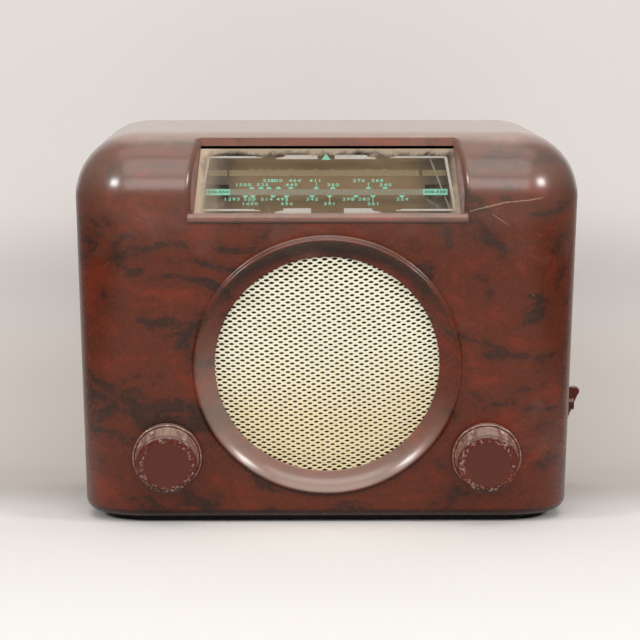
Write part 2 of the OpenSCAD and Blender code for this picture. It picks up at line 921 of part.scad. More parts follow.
module tuning_bracket() {
    control_bracket(knob_x, bush_r, 1);
    color("#b59a5b")
        at_front(knob_x, knob_z)
            translate([0, 0, -bracket_front - bracket_t - 4])
                tube(bush_r + eps, spindle_r + 0.05, bracket_t + 8);
}

module volume_bracket() {
    control_bracket(-knob_x, bush_r + 0.1, -1);
}

module volume_control() {
    body_r = 15;
    body_h = 12;
    box_r = 11;
    box_h = 6;
    top = -bracket_front - bracket_t - 0.1;
    color("#6d675c")
        at_front(-knob_x, knob_z)
            difference() {
                union() {
                    translate([0, 0, top - body_h])
                        cylinder(r = body_r, h = body_h);
                    translate([0, 0, top - body_h - box_h])
                        cylinder(r = box_r, h = box_h + eps);
                    translate([0, 0, top - eps])
                        cylinder(r = bush_r, h = 8);
                    translate([0, 0, -bracket_front + 0.1])
                        cylinder(r = 7, h = 2.4, $fn = 6);
                    for (a = [-30, 0, 30])
                        rotate(a - 90)
                            translate([body_r - 1, -1.5, top - 6])
                                cube([6, 3, 0.8]);
                }
                translate([0, 0, -bracket_front - bracket_t - 12.2])
                    cylinder(r = spindle_r + 0.05, h = 30);
            }
}

// Waveband control on the right side
waveband_gap = 1;

// The waveband knob in its own frame: local +Z points out of the side, local +Y up
module waveband_knob() {
    hub_r = 11;
    hub_h = 5;
    fin_t = 7;
    fin_h = 12;
    color("#3f1a15")
        translate([side_x(waveband_z) + waveband_gap, waveband_y, waveband_z])
            rotate([90, 0, 90])
                difference() {
                    union() {
                        rotate_extrude()
                            polygon([[0, 0], [hub_r - 0.6, 0], [hub_r, 0.6], [hub_r, hub_h - 1.5],
                                     [hub_r - 1.5, hub_h], [0, hub_h]]);
                        translate([-fin_t / 2, 0, 0])
                            rotate([90, 0, 90])
                                linear_extrude(fin_t)
                                    polygon(concat(
                                        [[-hub_r + 0.5, 1], [-hub_r + 0.5, hub_h - 1]],
                                        [for (a = [150 : -15 : -30])
                                            [hub_r - 3.5 + 3 * cos(a), fin_h - 3 + 3 * sin(a)]],
                                        [[hub_r - 0.5, 1]]));
                    }
                    translate([0, 0, -1])
                        cylinder(r = spindle_r + 0.03, h = 8);
                }
}

switch_bracket_x = chassis_half_w + 4;
switch_x = switch_bracket_x - 20;
switch_t = 5;
switch_r = 15;

module waveband_spindle() {
    rotor_r = 7;
    color("#b9bcc0")
        translate([0, waveband_y, waveband_z])
            rotate([90, 0, 90]) {
                translate([0, 0, switch_x - 3])
                    cylinder(r = spindle_r, h = side_x(waveband_z) + waveband_gap + 6.7 - switch_x + 3);
                translate([0, 0, switch_x + 0.3])
                    cylinder(r = rotor_r, h = switch_t - 0.6);
            }
}

module waveband_switch() {
    lug = 3;
    color("#a67c45")
        translate([0, waveband_y, waveband_z])
            rotate([90, 0, 90]) {
                difference() {
                    union() {
                        translate([0, 0, switch_x])
                            cylinder(r = switch_r, h = switch_t);
                        for (a = [0 : 30 : 330])
                            rotate(a)
                                translate([switch_r - 1, -lug / 2, switch_x + switch_t / 2 - 0.4])
                                    cube([5, lug, 0.8]);
                        for (side = [-1, 1])
                            translate([side * 12, 0, switch_x])
                                cylinder(r = 1.6, h = switch_bracket_x - switch_x - 0.1);
                    }
                    translate([0, 0, switch_x - 1])
                        cylinder(r = 7.3, h = switch_t + 2);
                }
            }
}

// Tuning capacitor
gang_y0 = frame_y + 5.2;
gang_y1 = gang_y0 + 40;
gang_half = 22;
gang_plate_t = 1.5;
vane_t = 0.6;
vane_pitch = 2.2;
vanes = 4;
vane_r = 17.5;
section_y = [gang_y0 + 10, gang_y0 + 29];

module gang_frame() {
    color("#c2b48c")
        translate([drum_x, 0, drum_z])
            difference() {
                union() {
                    for (y = [gang_y0, gang_y1 - gang_plate_t])
                        translate([-gang_half, y, -gang_half])
                            cube([2 * gang_half, gang_plate_t, 2 * gang_half]);
                    translate([-gang_half, gang_y0, -gang_half])
                        cube([2 * gang_half, gang_y1 - gang_y0, gang_plate_t]);
                    for (side = [-1, 1])
                        translate([side * (gang_half - 2) - 2, gang_y0, gang_half - gang_plate_t])
                            cube([4, gang_y1 - gang_y0, gang_plate_t]);
                }
                rotate([-90, 0, 0])
                    translate([0, 0, gang_y0 - 5])
                        cylinder(r = spindle_r + 0.05, h = 60);
            }
}

module gang_stators() {
    color("#c9ccd0")
        translate([drum_x, 0, drum_z]) {
            for (y = section_y)
                for (i = [0 : vanes])
                    translate([0, y + (i - vanes / 2) * vane_pitch - vane_t / 2, 0])
                        plate_y(0, vane_t)
                            difference() {
                                translate([-21, -14])
                                    square([20, 28]);
                                circle(r = 5);
                            }
            for (z = [-12, 12])
                bar_y(-19.6, gang_y0 + gang_plate_t + 0.2, gang_y1 - gang_plate_t - 0.2, z, 1.2);
        }
}

module gang_rotor() {
    color("#c9ccd0")
        translate([drum_x, 0, drum_z]) {
            bar_y(0, drum_y - drum_t - 1, gang_y1 + 2, 0, spindle_r);
            for (y = section_y)
                for (i = [0 : vanes - 1])
                    plate_y(y + (i - (vanes - 1) / 2) * vane_pitch - vane_t / 2,
                            y + (i - (vanes - 1) / 2) * vane_pitch + vane_t / 2)
                        difference() {
                            circle(r = vane_r);
                            translate([-2 * vane_r, -vane_r])
                                square([2 * vane_r, 2 * vane_r]);
                        }
        }
}

frame_screw_x = [-knob_x - 11.8, knob_x + 11.8];
bracket_t = 1.5;
frame_screw_z = knob_z - 6;

module frame_screws() {
    color("#8d8f92")
        for (x = frame_screw_x)
            difference() {
                union() {
                    bar_y(x, frame_y - bracket_t - 2.9, frame_y - bracket_t - 0.5, frame_screw_z, 3.4);
                    bar_y(x, frame_y - bracket_t - 0.6, frame_y + 8, frame_screw_z, 1.9);
                    bar_y(x, frame_y + frame_t + sheet_t + 0.2, frame_y + frame_t + sheet_t + 2.6,
                          frame_screw_z, 3.4);
                }
                translate([x - 5, frame_y - bracket_t - 3.5, frame_screw_z - 0.5])
                    cube([10, 1.2, 1]);
            }
}

module gang_bracket() {
    top = drum_z - gang_half - 0.2;
    half = 20;
    foot = 6;
    color("#8f8a78")
        union() {
            translate([drum_x - half, gang_y0 + 2, top - sheet_t])
                cube([2 * half, gang_y1 - gang_y0 - 4, sheet_t]);
            for (side = [-1, 1]) {
                translate([drum_x + side * (half - sheet_t / 2) - sheet_t / 2, gang_y0 + 2,
                           deck_z + 0.1])
                    cube([sheet_t, gang_y1 - gang_y0 - 4, top - deck_z - 0.1]);
                translate([side > 0 ? drum_x + half - foot : drum_x - half, gang_y0 + 2,
                           deck_z + 0.1])
                    cube([foot, gang_y1 - gang_y0 - 4, sheet_t]);
            }
        }
}

// Chassis, with the places of what stands on its deck
chassis_front_y = frame_y + frame_t + 0.1;
chassis_low = pillar_top;
valve_y = chassis_rear_y - 26;
valve_x = [-98, -58, -16, 26, 68];
valve_hole_r = 9.5;
can_places = [[5, valve_y - 27], [47, valve_y - 27]];
can_side = 22;
can_h = 48;
capacitor_place = [-52, valve_y - 38];
capacitor_r = 12.5;
capacitor_h = 60;
dropper_place = [-106, valve_y - 35];
dropper_r = 9;
dropper_h = 70;
transformer_place = [-97, front_y + 91];
transformer_size = [38, 26, 34];

module chassis() {
    foot = 20;
    notch_x = switch_x - 10;
    plate_h = 46;
    color("#b5b7b4")
        union() {
            difference() {
                union() {
                    difference() {
                        translate([-chassis_half_w, chassis_front_y, chassis_low])
                            cube([2 * chassis_half_w, chassis_rear_y - chassis_front_y,
                                  deck_z - chassis_low]);
                        translate([-chassis_half_w + sheet_t, chassis_front_y + sheet_t,
                                   chassis_low - 1])
                            cube([2 * (chassis_half_w - sheet_t),
                                  chassis_rear_y - chassis_front_y - 2 * sheet_t,
                                  deck_z - chassis_low + 1 - sheet_t]);
                    }
                    for (side = [-1, 1])
                        for (y = [chassis_front_y, chassis_rear_y - foot - 4])
                            translate([side > 0 ? chassis_half_w - foot : -chassis_half_w, y,
                                       chassis_low])
                                cube([foot, foot + 4, sheet_t]);
                }
                chassis_screw_places()
                    translate([0, 0, chassis_low - 1])
                        cylinder(r = screw_r + screw_gap, h = sheet_t + 2);
                for (x = valve_x)
                    translate([x, valve_y, deck_z - 5])
                        cylinder(r = valve_hole_r, h = 10);
                for (x = frame_screw_x)
                    bar_y(x, chassis_front_y - 1, chassis_front_y + 3, frame_screw_z, 2);
                translate([notch_x, waveband_y - switch_r - 6, deck_z - sheet_t - 1])
                    cube([chassis_half_w - notch_x - sheet_t, 2 * switch_r + 12, 10]);
                for (x = socket_x)
                    bar_y(x, chassis_rear_y - 5, chassis_rear_y + 5, socket_z, 4.5);
            }
            translate([chassis_half_w - eps, waveband_y - 18, deck_z - 20])
                cube([switch_bracket_x + sheet_t - chassis_half_w, 36, sheet_t]);
            difference() {
                translate([switch_bracket_x, waveband_y - 18, deck_z - 20])
                    cube([sheet_t, 36, plate_h]);
                translate([switch_bracket_x - 1, waveband_y, waveband_z])
                    rotate([0, 90, 0])
                        cylinder(r = spindle_r + 0.05, h = 4);
            }
        }
}

module valve_holders() {
    color("#2d2a28")
        for (x = valve_x)
            translate([x, valve_y, deck_z - sheet_t - 5])
                difference() {
                    union() {
                        cylinder(r = valve_hole_r - 0.2, h = 5 + sheet_t + 1);
                        translate([0, 0, 5 - 1.6])
                            cylinder(r = valve_r + 2, h = 1.5);
                        for (a = [0 : 45 : 315])
                            rotate(a)
                                translate([5, -0.8, -5])
                                    cube([0.8, 1.6, 5 + eps]);
                    }
                    for (a = [0 : 45 : 315])
                        rotate(a)
                            translate([6, 0, 3])
                                cylinder(r = 0.7, h = 10, $fn = 16);
                }
}

// The glass of the valves: closed bulbs with rounded tops
module valve_envelopes() {
    base_h = 6;
    glass = 1;
    z0 = deck_z + 1.2 + base_h;
    top = valve_h - base_h;
    color([0.8, 0.85, 0.85, 0.35])
        for (x = valve_x)
            translate([x, valve_y, z0])
                rotate_extrude()
                    difference() {
                        union() {
                            square([valve_r, top - valve_r]);
                            intersection() {
                                translate([0, top - valve_r])
                                    circle(r = valve_r);
                                square([valve_r, top]);
                            }
                        }
                        translate([0, glass])
                            square([valve_r - glass, top - valve_r - glass]);
                        intersection() {
                            translate([0, top - valve_r])
                                circle(r = valve_r - glass);
                            translate([0, top - valve_r - eps])
                                square([valve_r, valve_r]);
                        }
                    }
}

module valve_electrodes() {
    anode_r = 6;
    color("#57585a")
        for (x = valve_x)
            translate([x, valve_y, deck_z + 1.2 + 6 + 1.1]) {
                for (a = [0 : 90 : 270])
                    rotate(a)
                        translate([3.5, 0, 0])
                            cylinder(r = 0.5, h = 8, $fn = 16);
                translate([0, 0, 7])
                    cylinder(r = 8.5, h = 0.8);
                translate([0, 0, 7.7])
                    cylinder(r = anode_r, h = valve_h - 38);
                translate([0, 0, 7.6 + valve_h - 38])
                    cylinder(r = 8.5, h = 0.8);
            }
}

module valve_bases() {
    color("#9b9da0")
        for (x = valve_x)
            translate([x, valve_y, deck_z + 1.1]) {
                difference() {
                    cylinder(r = valve_r, h = 5.9);
                    translate([0, 0, 3])
                        cylinder(r = valve_r - 2, h = 10);
                }
                for (a = [0 : 45 : 315])
                    rotate(a)
                        translate([6, 0, -3.5])
                            cylinder(r = 0.5, h = 4, $fn = 16);
            }
}

// A screened can for a pair of tuned coils
module tuned_can(place) {
    color("#c4c6c4")
        translate([place[0], place[1], deck_z + 0.1])
            difference() {
                translate([-can_side / 2, -can_side / 2, 0])
                    cube([can_side, can_side, can_h]);
                translate([-can_side / 2 + 1, -can_side / 2 + 1, -1])
                    cube([can_side - 2, can_side - 2, can_h]);
                cylinder(r = 2.5, h = can_h + 5);
            }
}

module first_tuned_can() {
    tuned_can(can_places[1]);
}

module second_tuned_can() {
    tuned_can(can_places[0]);
}

module smoothing_capacitor() {
    color("#bfc2c4")
        translate([capacitor_place[0], capacitor_place[1], deck_z + 0.1])
            difference() {
                union() {
                    cylinder(r = capacitor_r, h = capacitor_h);
                    tube(capacitor_r + 1, capacitor_r - 0.5, 10);
                    translate([-capacitor_r - 7, -4, 0])
                        cube([2 * capacitor_r + 14, 8, 1.2]);
                }
                translate([0, 0, capacitor_h - 1])
                    tube(capacitor_r - 1.5, capacitor_r - 3, 2);
                for (z = [14, capacitor_h - 8])
                    translate([0, 0, z])
                        tube(capacitor_r + 2, capacitor_r - 0.5, 1.5);
            }
}

module mains_dropper() {
    ring_h = 5;
    color("#b08a5e")
        translate([dropper_place[0], dropper_place[1], deck_z + 0.1]) {
            translate([0, 0, 4])
                tube(dropper_r, dropper_r - 3, dropper_h);
            for (z = [6, 24, 42, 62])
                translate([0, 0, z])
                    tube(dropper_r + 0.8, dropper_r - 0.5, ring_h);
            cylinder(r = dropper_r - 1, h = 4.1);
            cylinder(r = 2, h = dropper_h + 8);
            translate([0, 0, dropper_h + 3.9])
                cylinder(r = dropper_r - 1, h = 1.5);
            translate([0, 0, dropper_h + 5.3])
                cylinder(r = 4, h = 2.5, $fn = 6);
        }
}

module output_transformer() {
    color("#7a7c7d")
        translate([transformer_place[0] - transformer_size[0] / 2,
                   transformer_place[1] - transformer_size[1] / 2, deck_z + 0.1])
            difference() {
                union() {
                    translate([0, 5, 0])
                        cube([transformer_size[0], transformer_size[1] - 10, transformer_size[2]]);
                    translate([0, 0, 0])
                        cube([transformer_size[0], transformer_size[1], 1.2]);
                }
                for (x = [6.5, 22.5])
                    translate([x, -1, 7])
                        cube([9, transformer_size[1] + 2, transformer_size[2] - 14]);
            }
}

module transformer_coil() {
    mid = [15.7, 22.3];
    color("#8a5a2c")
        translate([transformer_place[0] - transformer_size[0] / 2,
                   transformer_place[1] - transformer_size[1] / 2, deck_z + 0.1])
            difference() {
                translate([6.8, 1.5, 7.3])
                    cube([24.4, transformer_size[1] - 3, transformer_size[2] - 14.6]);
                translate([15.2, 4.7, -1])
                    cube([7.6, transformer_size[1] - 9.4, transformer_size[2] + 2]);
            }
}

// Loudspeaker, in the frame of the leaning front: depth runs along local -Z
rim_r = 82.5;
rim_front = -8;
rim_t = 1.4;
rim_inner_r = 69;
neck_r = 38;
neck_z = -48;
cone_edge_r = 60;
cone_edge_z = -9;
cone_apex_r = 14;
cone_apex_z = -40;
coil_r = 12.3;
magnet_r = 36;
magnet_len = 30;

module speaker_basket() {
    web = rim_t;
    color("#5d6163")
        at_front(0, speaker_z)
            difference() {
                rotate_extrude($fn = 72)
                    polygon([[rim_inner_r, rim_front], [rim_r, rim_front],
                             [rim_r, rim_front - rim_t], [rim_inner_r + 2, rim_front - rim_t],
                             [neck_r + 1.4, neck_z], [neck_r + 1.4, neck_z - web],
                             [coil_r + 2, neck_z - web], [coil_r + 2, neck_z], [neck_r, neck_z],
                             [rim_inner_r, rim_front - rim_t]]);
                for (a = [0 : 60 : 300])
                    rotate(a)
                        translate([0, 0, -28])
                            rotate([0, 90, 0])
                                cylinder(r = 11, h = rim_r);
                for (a = [45 : 90 : 315])
                    rotate(a)
                        translate([speaker_pcd_r, 0, rim_front - 5])
                            cylinder(r = speaker_pilot_r + 0.3, h = 10);
            }
}

module speaker_cone() {
    paper = 0.8;
    color("#2b2724")
        at_front(0, speaker_z)
            rotate_extrude($fn = 72)
                polygon([[cone_apex_r, cone_apex_z], [cone_edge_r - 1.5, cone_edge_z],
                         [cone_edge_r, cone_edge_z], [cone_edge_r, cone_edge_z - paper],
                         [cone_edge_r - 1, cone_edge_z - paper], [cone_apex_r, cone_apex_z - 1.2],
                         [coil_r + 0.5, cone_apex_z - 1.2], [coil_r + 0.5, cone_apex_z]]);
}

module dust_cap() {
    color("#1f1c1a")
        at_front(0, speaker_z)
            translate([0, 0, cone_apex_z + 0.1])
                difference() {
                    intersection() {
                        translate([0, 0, -10])
                            sphere(r = 17);
                        cylinder(r = cone_apex_r - 0.3, h = 20);
                    }
                    translate([0, 0, -10])
                        sphere(r = 16);
                }
}

module voice_coil() {
    color("#b5713a")
        at_front(0, speaker_z)
            translate([0, 0, neck_z - 12])
                tube(coil_r + 0.35, coil_r - 0.35, cone_apex_z - 0.2 - neck_z + 12);
}

module cone_surround() {
    ply = 0.6;
    gasket_r = speaker_pcd_r - 3;
    color("#3a342e")
        at_front(0, speaker_z)
            rotate_extrude($fn = 72)
                polygon([[cone_edge_r + 0.3, cone_edge_z], [cone_edge_r + 2, cone_edge_z + 1],
                         [cone_edge_r + 4, cone_edge_z - 0.4], [cone_edge_r + 6, cone_edge_z + 1],
                         [cone_edge_r + 8, rim_front + 0.6], [cone_edge_r + 8.5, -wall - grille_t - 0.5],
                         [gasket_r, -wall - grille_t - 0.5], [gasket_r, rim_front + 0.1],
                         [rim_inner_r - 0.5, rim_front + 0.1], [cone_edge_r + 6, cone_edge_z + 1 - ply],
                         [cone_edge_r + 4, cone_edge_z - 0.4 - ply],
                         [cone_edge_r + 2, cone_edge_z + 1 - ply],
                         [cone_edge_r + 0.3, cone_edge_z - ply]]);
}

module centring_spider() {
    ply = 0.5;
    inner = coil_r + 0.7;
    outer = neck_r - 0.5;
    waves = 7;
    function wave(i) = i % 2 == 0 ? 0 : 1.4;
    color("#8a6a3c")
        at_front(0, speaker_z)
            translate([0, 0, neck_z + 0.1])
                rotate_extrude()
                    polygon(concat(
                        [for (i = [0 : waves])
                            [inner + (outer - 5 - inner) * i / waves, ply + 1.2 * (1 - i / waves) + wave(i)]],
                        [[outer, ply], [outer, 0]],
                        [for (i = [waves : -1 : 0])
                            [inner + (outer - 5 - inner) * i / waves, 1.2 * (1 - i / waves) + wave(i)]]));
}

module speaker_magnet() {
    plate = 5;
    color("#4b4d50")
        at_front(0, speaker_z)
            translate([0, 0, neck_z - rim_t - 0.1 - magnet_len])
                difference() {
                    union() {
                        cylinder(r = magnet_r, h = magnet_len);
                        cylinder(r = magnet_r + 1, h = 4);
                    }
                    translate([0, 0, magnet_len - 14])
                        tube(coil_r + 1, coil_r - 1, 20);
                    translate([0, 0, magnet_len - plate - 12])
                        tube(magnet_r - 6, coil_r - 1, 12);
                }
}

// Grille: a dome of sheet metal with rows of diamond gaps
mesh_pitch_x = 13.6;
mesh_pitch_z = 8.2;
mesh_gap = [8.4, 4.6];
grille_flange_r = 73;

module grille_section() {
    rim = aperture_r - 1;
    base = -wall - 0.1;
    steps = 10;
    function rise(t) = grille_rise * (1 - pow(t, 3.2));
    polygon(concat(
        [[0, base + rise(0)]],
        [for (i = [1 : steps]) [rim * i / steps, base + rise(i / steps)]],
        [[grille_flange_r, base], [grille_flange_r, base - grille_t], [rim - 0.4, base - grille_t]],
        [for (i = [steps - 1 : -1 : 1])
            [rim * i / steps - 0.2, base + rise(i / steps) - grille_t]],
        [[0, base + rise(0) - grille_t]]));
}

module diamond(size) {
    polygon([[-size[0] / 2, 0], [0, -size[1] / 2], [size[0] / 2, 0], [0, size[1] / 2]]);
}

module speaker_grille() {
    rows = ceil(aperture_r / mesh_pitch_z * 2);
    columns = ceil(aperture_r / mesh_pitch_x);
    reach = aperture_r - 4;
    color("#e6dcc0")
        at_front(0, speaker_z)
            difference() {
                rotate_extrude($fn = 72)
                    grille_section();
                translate([0, 0, -wall - 4])
                    linear_extrude(grille_rise + 8)
                        for (row = [-rows : rows])
                            for (column = [-columns : columns]) {
                                x = (column + (row % 2 == 0 ? 0 : 0.5)) * mesh_pitch_x;
                                z = row * mesh_pitch_z / 2;
                                if (norm([abs(x) + mesh_gap[0] / 2, z]) < reach)
                                    translate([x, z])
                                        diamond(mesh_gap);
                            }
            }
}

module speaker_screws() {
    head_r = 3;
    color("#8d8f92")
        speaker_screw_places() {
            translate([0, 0, rim_front - rim_t - 0.1 - 2])
                cylinder(r = head_r, h = 2);
            translate([0, 0, rim_front - rim_t - 0.2])
                cylinder(r = speaker_pilot_r - 0.15, h = 8);
        }
}

// Aerials
aerial_y = cover_front_y - 6;
aerial_high = cabinet_h - 31;
aerial_low = aerial_high - 80;
aerial_half_w = half_w - 57;

module frame_aerial() {
    board_t = 2;
    color("#7b5a35")
        difference() {
            union() {
                plate_y(aerial_y - board_t, aerial_y)
                    difference() {
                        translate([-aerial_half_w, aerial_low])
                            square([2 * aerial_half_w, aerial_high - aerial_low]);
                        translate([-aerial_half_w + 24, aerial_low + 24])
                            square([2 * aerial_half_w - 48, aerial_high - aerial_low - 48]);
                    }
                for (side = [-1, 1])
                    for (z = [aerial_low + 8, aerial_high - 8])
                        bar_y(side * (aerial_half_w - 8), aerial_y - eps, cover_front_y - 0.1, z, 4);
            }
        }
}

module aerial_winding() {
    turn_t = 2;
    color("#b5713a")
        plate_y(aerial_y - 2.1 - turn_t, aerial_y - 2.1)
            difference() {
                translate([-aerial_half_w + 3, aerial_low + 3])
                    square([2 * aerial_half_w - 6, aerial_high - aerial_low - 6]);
                translate([-aerial_half_w + 18, aerial_low + 18])
                    square([2 * aerial_half_w - 36, aerial_high - aerial_low - 36]);
            }
}

socket_len = 9;

module aerial_sockets() {
    panel_t = 2;
    color("#8a6a3c")
        difference() {
            union() {
                translate([socket_x[0] - 11, chassis_rear_y + 0.1, socket_z - 8])
                    cube([socket_x[1] - socket_x[0] + 22, panel_t, 16]);
                for (x = socket_x)
                    bar_y(x, chassis_rear_y + 0.1, chassis_rear_y + 0.1 + socket_len, socket_z, 3.2);
            }
            for (x = socket_x)
                bar_y(x, chassis_rear_y - 1, chassis_rear_y + socket_len + 1, socket_z, socket_r);
        }
}

cabinet();
base_plate();
chassis_screws();
rear_cover();
rear_cover_screws();
mains_grommet();
dial_glass();
glass_cushion();
glass_clips();
dial_backplate();
dial_frame();
frame_screws();
dial_lamps();
pointer_rail();
dial_pointer();
pulley(left_pulley, left_cord_r);  // pulley_left
pulley(upper_pulley, pulley_cord_r);  // pulley_upper_right
pulley(lower_pulley, pulley_cord_r);  // pulley_lower_right
drive_drum();
drive_cord();
pointer_cord();
tuning_knob();
tuning_knob_screw();
tuning_spindle();
tuning_bracket();
volume_knob();
volume_knob_screw();
volume_spindle();
volume_control();
volume_bracket();
waveband_knob();
waveband_spindle();
waveband_switch();
gang_frame();
gang_stators();
gang_rotor();
gang_bracket();
chassis();
valve_holders();
valve_envelopes();
valve_electrodes();
valve_bases();
first_tuned_can();
second_tuned_can();
smoothing_capacitor();
mains_dropper();
output_transformer();
transformer_coil();
speaker_basket();
speaker_cone();
dust_cap();
voice_coil();
cone_surround();
centring_spider();
speaker_magnet();
speaker_grille();
speaker_screws();
frame_aerial();
aerial_winding();
aerial_sockets();
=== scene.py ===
# %% [markdown]
# A table radio in a mottled bakelite cabinet.
# The cabinet is one phenolic moulding with a leaning front, a glass dial under its top edge, a round
# speaker opening with an enamelled mesh, two fluted knobs and a switch lever on its right side.
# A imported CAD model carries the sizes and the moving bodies, and this lesson dresses it.

# %% Load the frame
from math import atan2, copysign, cos, hypot, pi, radians, sin, sqrt, tan

import bmesh
import bpy
from mathutils import Matrix, Vector


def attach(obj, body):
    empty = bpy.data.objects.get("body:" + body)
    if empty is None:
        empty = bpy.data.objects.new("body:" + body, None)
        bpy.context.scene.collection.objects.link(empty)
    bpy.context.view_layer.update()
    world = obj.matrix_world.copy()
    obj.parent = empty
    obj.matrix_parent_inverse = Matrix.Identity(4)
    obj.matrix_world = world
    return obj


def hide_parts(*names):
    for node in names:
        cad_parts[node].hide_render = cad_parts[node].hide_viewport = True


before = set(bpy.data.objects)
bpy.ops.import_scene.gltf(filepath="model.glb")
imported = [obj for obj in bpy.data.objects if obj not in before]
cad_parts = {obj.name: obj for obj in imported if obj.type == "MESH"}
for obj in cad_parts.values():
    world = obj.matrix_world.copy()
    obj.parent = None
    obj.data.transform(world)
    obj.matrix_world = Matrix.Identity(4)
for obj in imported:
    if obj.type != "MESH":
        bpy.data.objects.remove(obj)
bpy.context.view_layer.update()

# %% [markdown]
# The camera comes first, because every later choice is made for the photograph's view.
# It stands two metres off with a long lens, a little above the radio and a touch to its left.

# %% Camera
def stand(name, data):
    """A new object in the scene that shows some data."""
    made = bpy.data.objects.new(name, data)
    bpy.context.scene.collection.objects.link(made)
    return made


eye = bpy.data.cameras.new("eye")
eye.lens = 186.2
eye.sensor_width = 36
camera = stand("eye", eye)
camera.location = (-0.0294, -2.0313, 0.3169)
camera.rotation_euler = (radians(90 - 5.65), 0, radians(-0.74))
bpy.context.scene.camera = camera
bpy.context.scene.view_settings.view_transform = "Standard"
print("camera", tuple(camera.location))

# %% [markdown]
# Shapes are drawn in millimetres, as on the maker's drawing, and scaled once at the end. The leaning
# front and the raked glass each have a drawing board of their own: x to the right, y up the slope and
# z out towards the listener. A matrix carries what was drawn there to its place on the cabinet.

# %% Sizes and drawing boards
MM = 0.001
HALF_WIDTH = 149.0
REAR = 105.0
CORNER = 38.0
WALL = 4.5
FOOT = 4.0
FOOT_EDGE = 8.0
LEAN = radians(11.3)
CORNER_Y = -67.0
CORNER_Z = 197.0
TANGENT_Y = CORNER_Y - CORNER * cos(LEAN)
TANGENT_Z = CORNER_Z - CORNER * sin(LEAN)
SILL = 188.5
LIP = -82.0
SPEAKER_Z = 96.6
APERTURE = 66.6
KNOB_X = 95.2
KNOB_Z = 42.0
KNOB_HIGH = 17.0
WAVEBAND_Y = 28.0
WAVEBAND_Z = 61.0
GLASS_LEAN = radians(20)
GLASS_FOOT = SILL - 3.5
GLASS_HIGH = 44.2


def at(x, y, z):
    return Matrix.Translation((x, y, z))


def face_y(z):
    """Where the leaning front lies at a height."""
    return TANGENT_Y + (TANGENT_Z - z) * tan(LEAN)


def side_x(z):
    """Half the cabinet's width at a height: its sides draw in by one degree towards the foot."""
    return HALF_WIDTH - (CORNER_Z - z) * tan(radians(1))


def front_board(x, z):
    return at(x, face_y(z), z) @ Matrix.Rotation(pi / 2 + LEAN, 4, "X")


GLASS_Y = face_y(GLASS_FOOT) + WALL / cos(LEAN) + 0.9
glass_board = at(0, GLASS_Y, GLASS_FOOT) @ Matrix.Rotation(pi / 2 - GLASS_LEAN, 4, "X")
print("face at the speaker", round(face_y(SPEAKER_Z), 2), "glass foot", round(GLASS_Y, 2))

# %% [markdown]
# A finish is a small graph of nodes. Written as Python it reads like the maker's recipe: a Wire is one
# socket, sums on wires add Math nodes, and node() adds any other node with its settings and sockets.
# abs() on a wire works too, for patterns that are alike on the left and on the right.
# The alternative, linking each node by hand, hides the recipe in bookkeeping.

# %% Wires and finishes
class Wire:
    """A socket of a finish that can stand in a sum."""

    def __init__(self, finish, socket):
        self.finish = finish
        self.socket = socket

    def sum(self, operation, first, second):
        return self.finish.node("Math", {"operation": operation}, {0: first, 1: second})

    def __add__(self, other):
        return self.sum("ADD", self, other)

    def __radd__(self, other):
        return self.sum("ADD", other, self)

    def __sub__(self, other):
        return self.sum("SUBTRACT", self, other)

    def __rsub__(self, other):
        return self.sum("SUBTRACT", other, self)

    def __mul__(self, other):
        return self.sum("MULTIPLY", self, other)

    def __rmul__(self, other):
        return self.sum("MULTIPLY", other, self)

    def __abs__(self):
        return self.finish.node("Math", {"operation": "ABSOLUTE"}, {0: self})


def fill_ramp(elements, stops):
    while len(elements) < len(stops):
        elements.new(1.0)
    for element, (position, colour) in zip(elements, stops):
        element.position = position
        element.color = colour


class Finish:
    """A material and the nodes that make it."""

    def __init__(self, name):
        self.material = bpy.data.materials.new(name)
        self.material.use_nodes = True
        self.tree = self.material.node_tree
        self.tree.nodes.clear()
        self.place = self.node("TexCoord", {}, {}, "Object")

    def node(self, kind, settings, sockets, output=0):
        """Any node, from its type, its settings and the values or links of its sockets."""
        made = self.tree.nodes.new("ShaderNode" + kind)
        for key, value in settings.items():
            if key == "stops":
                fill_ramp(made.color_ramp.elements, value)
            else:
                setattr(made, key, value)
        for key, value in sockets.items():
            if isinstance(value, Wire):
                self.tree.links.new(value.socket, made.inputs[key])
            else:
                made.inputs[key].default_value = value
        return Wire(self, made.outputs[output]) if len(made.outputs) else made

    def show(self, shader):
        """Ends the finish with its shader and hands over the material."""
        self.node("OutputMaterial", {}, {"Surface": shader})
        return self.material

    def skin(self, sockets):
        return self.show(self.node("BsdfPrincipled", {}, sockets))


def shade(red, green, blue):
    """A colour picked from a screen, as the linear values that a shader takes."""
    shares = [v / 255 for v in (red, green, blue)]
    linear = [s / 12.92 if s < 0.04 else ((s + 0.055) / 1.055) ** 2.4 for s in shares]
    return (*linear, 1.0)


def grey(level):
    return (level, level, level, 1.0)


print("dark bakelite", [round(v, 3) for v in shade(70, 50, 42)])

# %% [markdown]
# Most finishes share a few moves: a place along one axis, cloudy noise, a soft step from 0 to 1, a ramp
# or a blend of colours, and a bump. Each is a line or two here, so a recipe stays short. A move that
# starts from a wire adds its node to that wire's own finish.

# %% Shared moves
def along(finish, axis, vector=None):
    """A point's own place along X, Y or Z in metres, or another vector's share of that axis."""
    return finish.node("SeparateXYZ", {}, {"Vector": vector or finish.place}, axis)


def cloud(finish, scale, detail=4.0, rough=0.5, swirl=0.0, place=None):
    sockets = {"Vector": place or finish.place, "Scale": scale, "Detail": detail}
    sockets.update({"Roughness": rough, "Distortion": swirl})
    return finish.node("TexNoise", {}, sockets, "Fac")


def turned_place(finish, angles=(0, 0, 0), stretch=(1, 1, 1), shift=(0, 0, 0)):
    sockets = {"Vector": finish.place, "Location": shift, "Scale": stretch}
    sockets["Rotation"] = [radians(a) for a in angles]
    return finish.node("Mapping", {}, sockets)


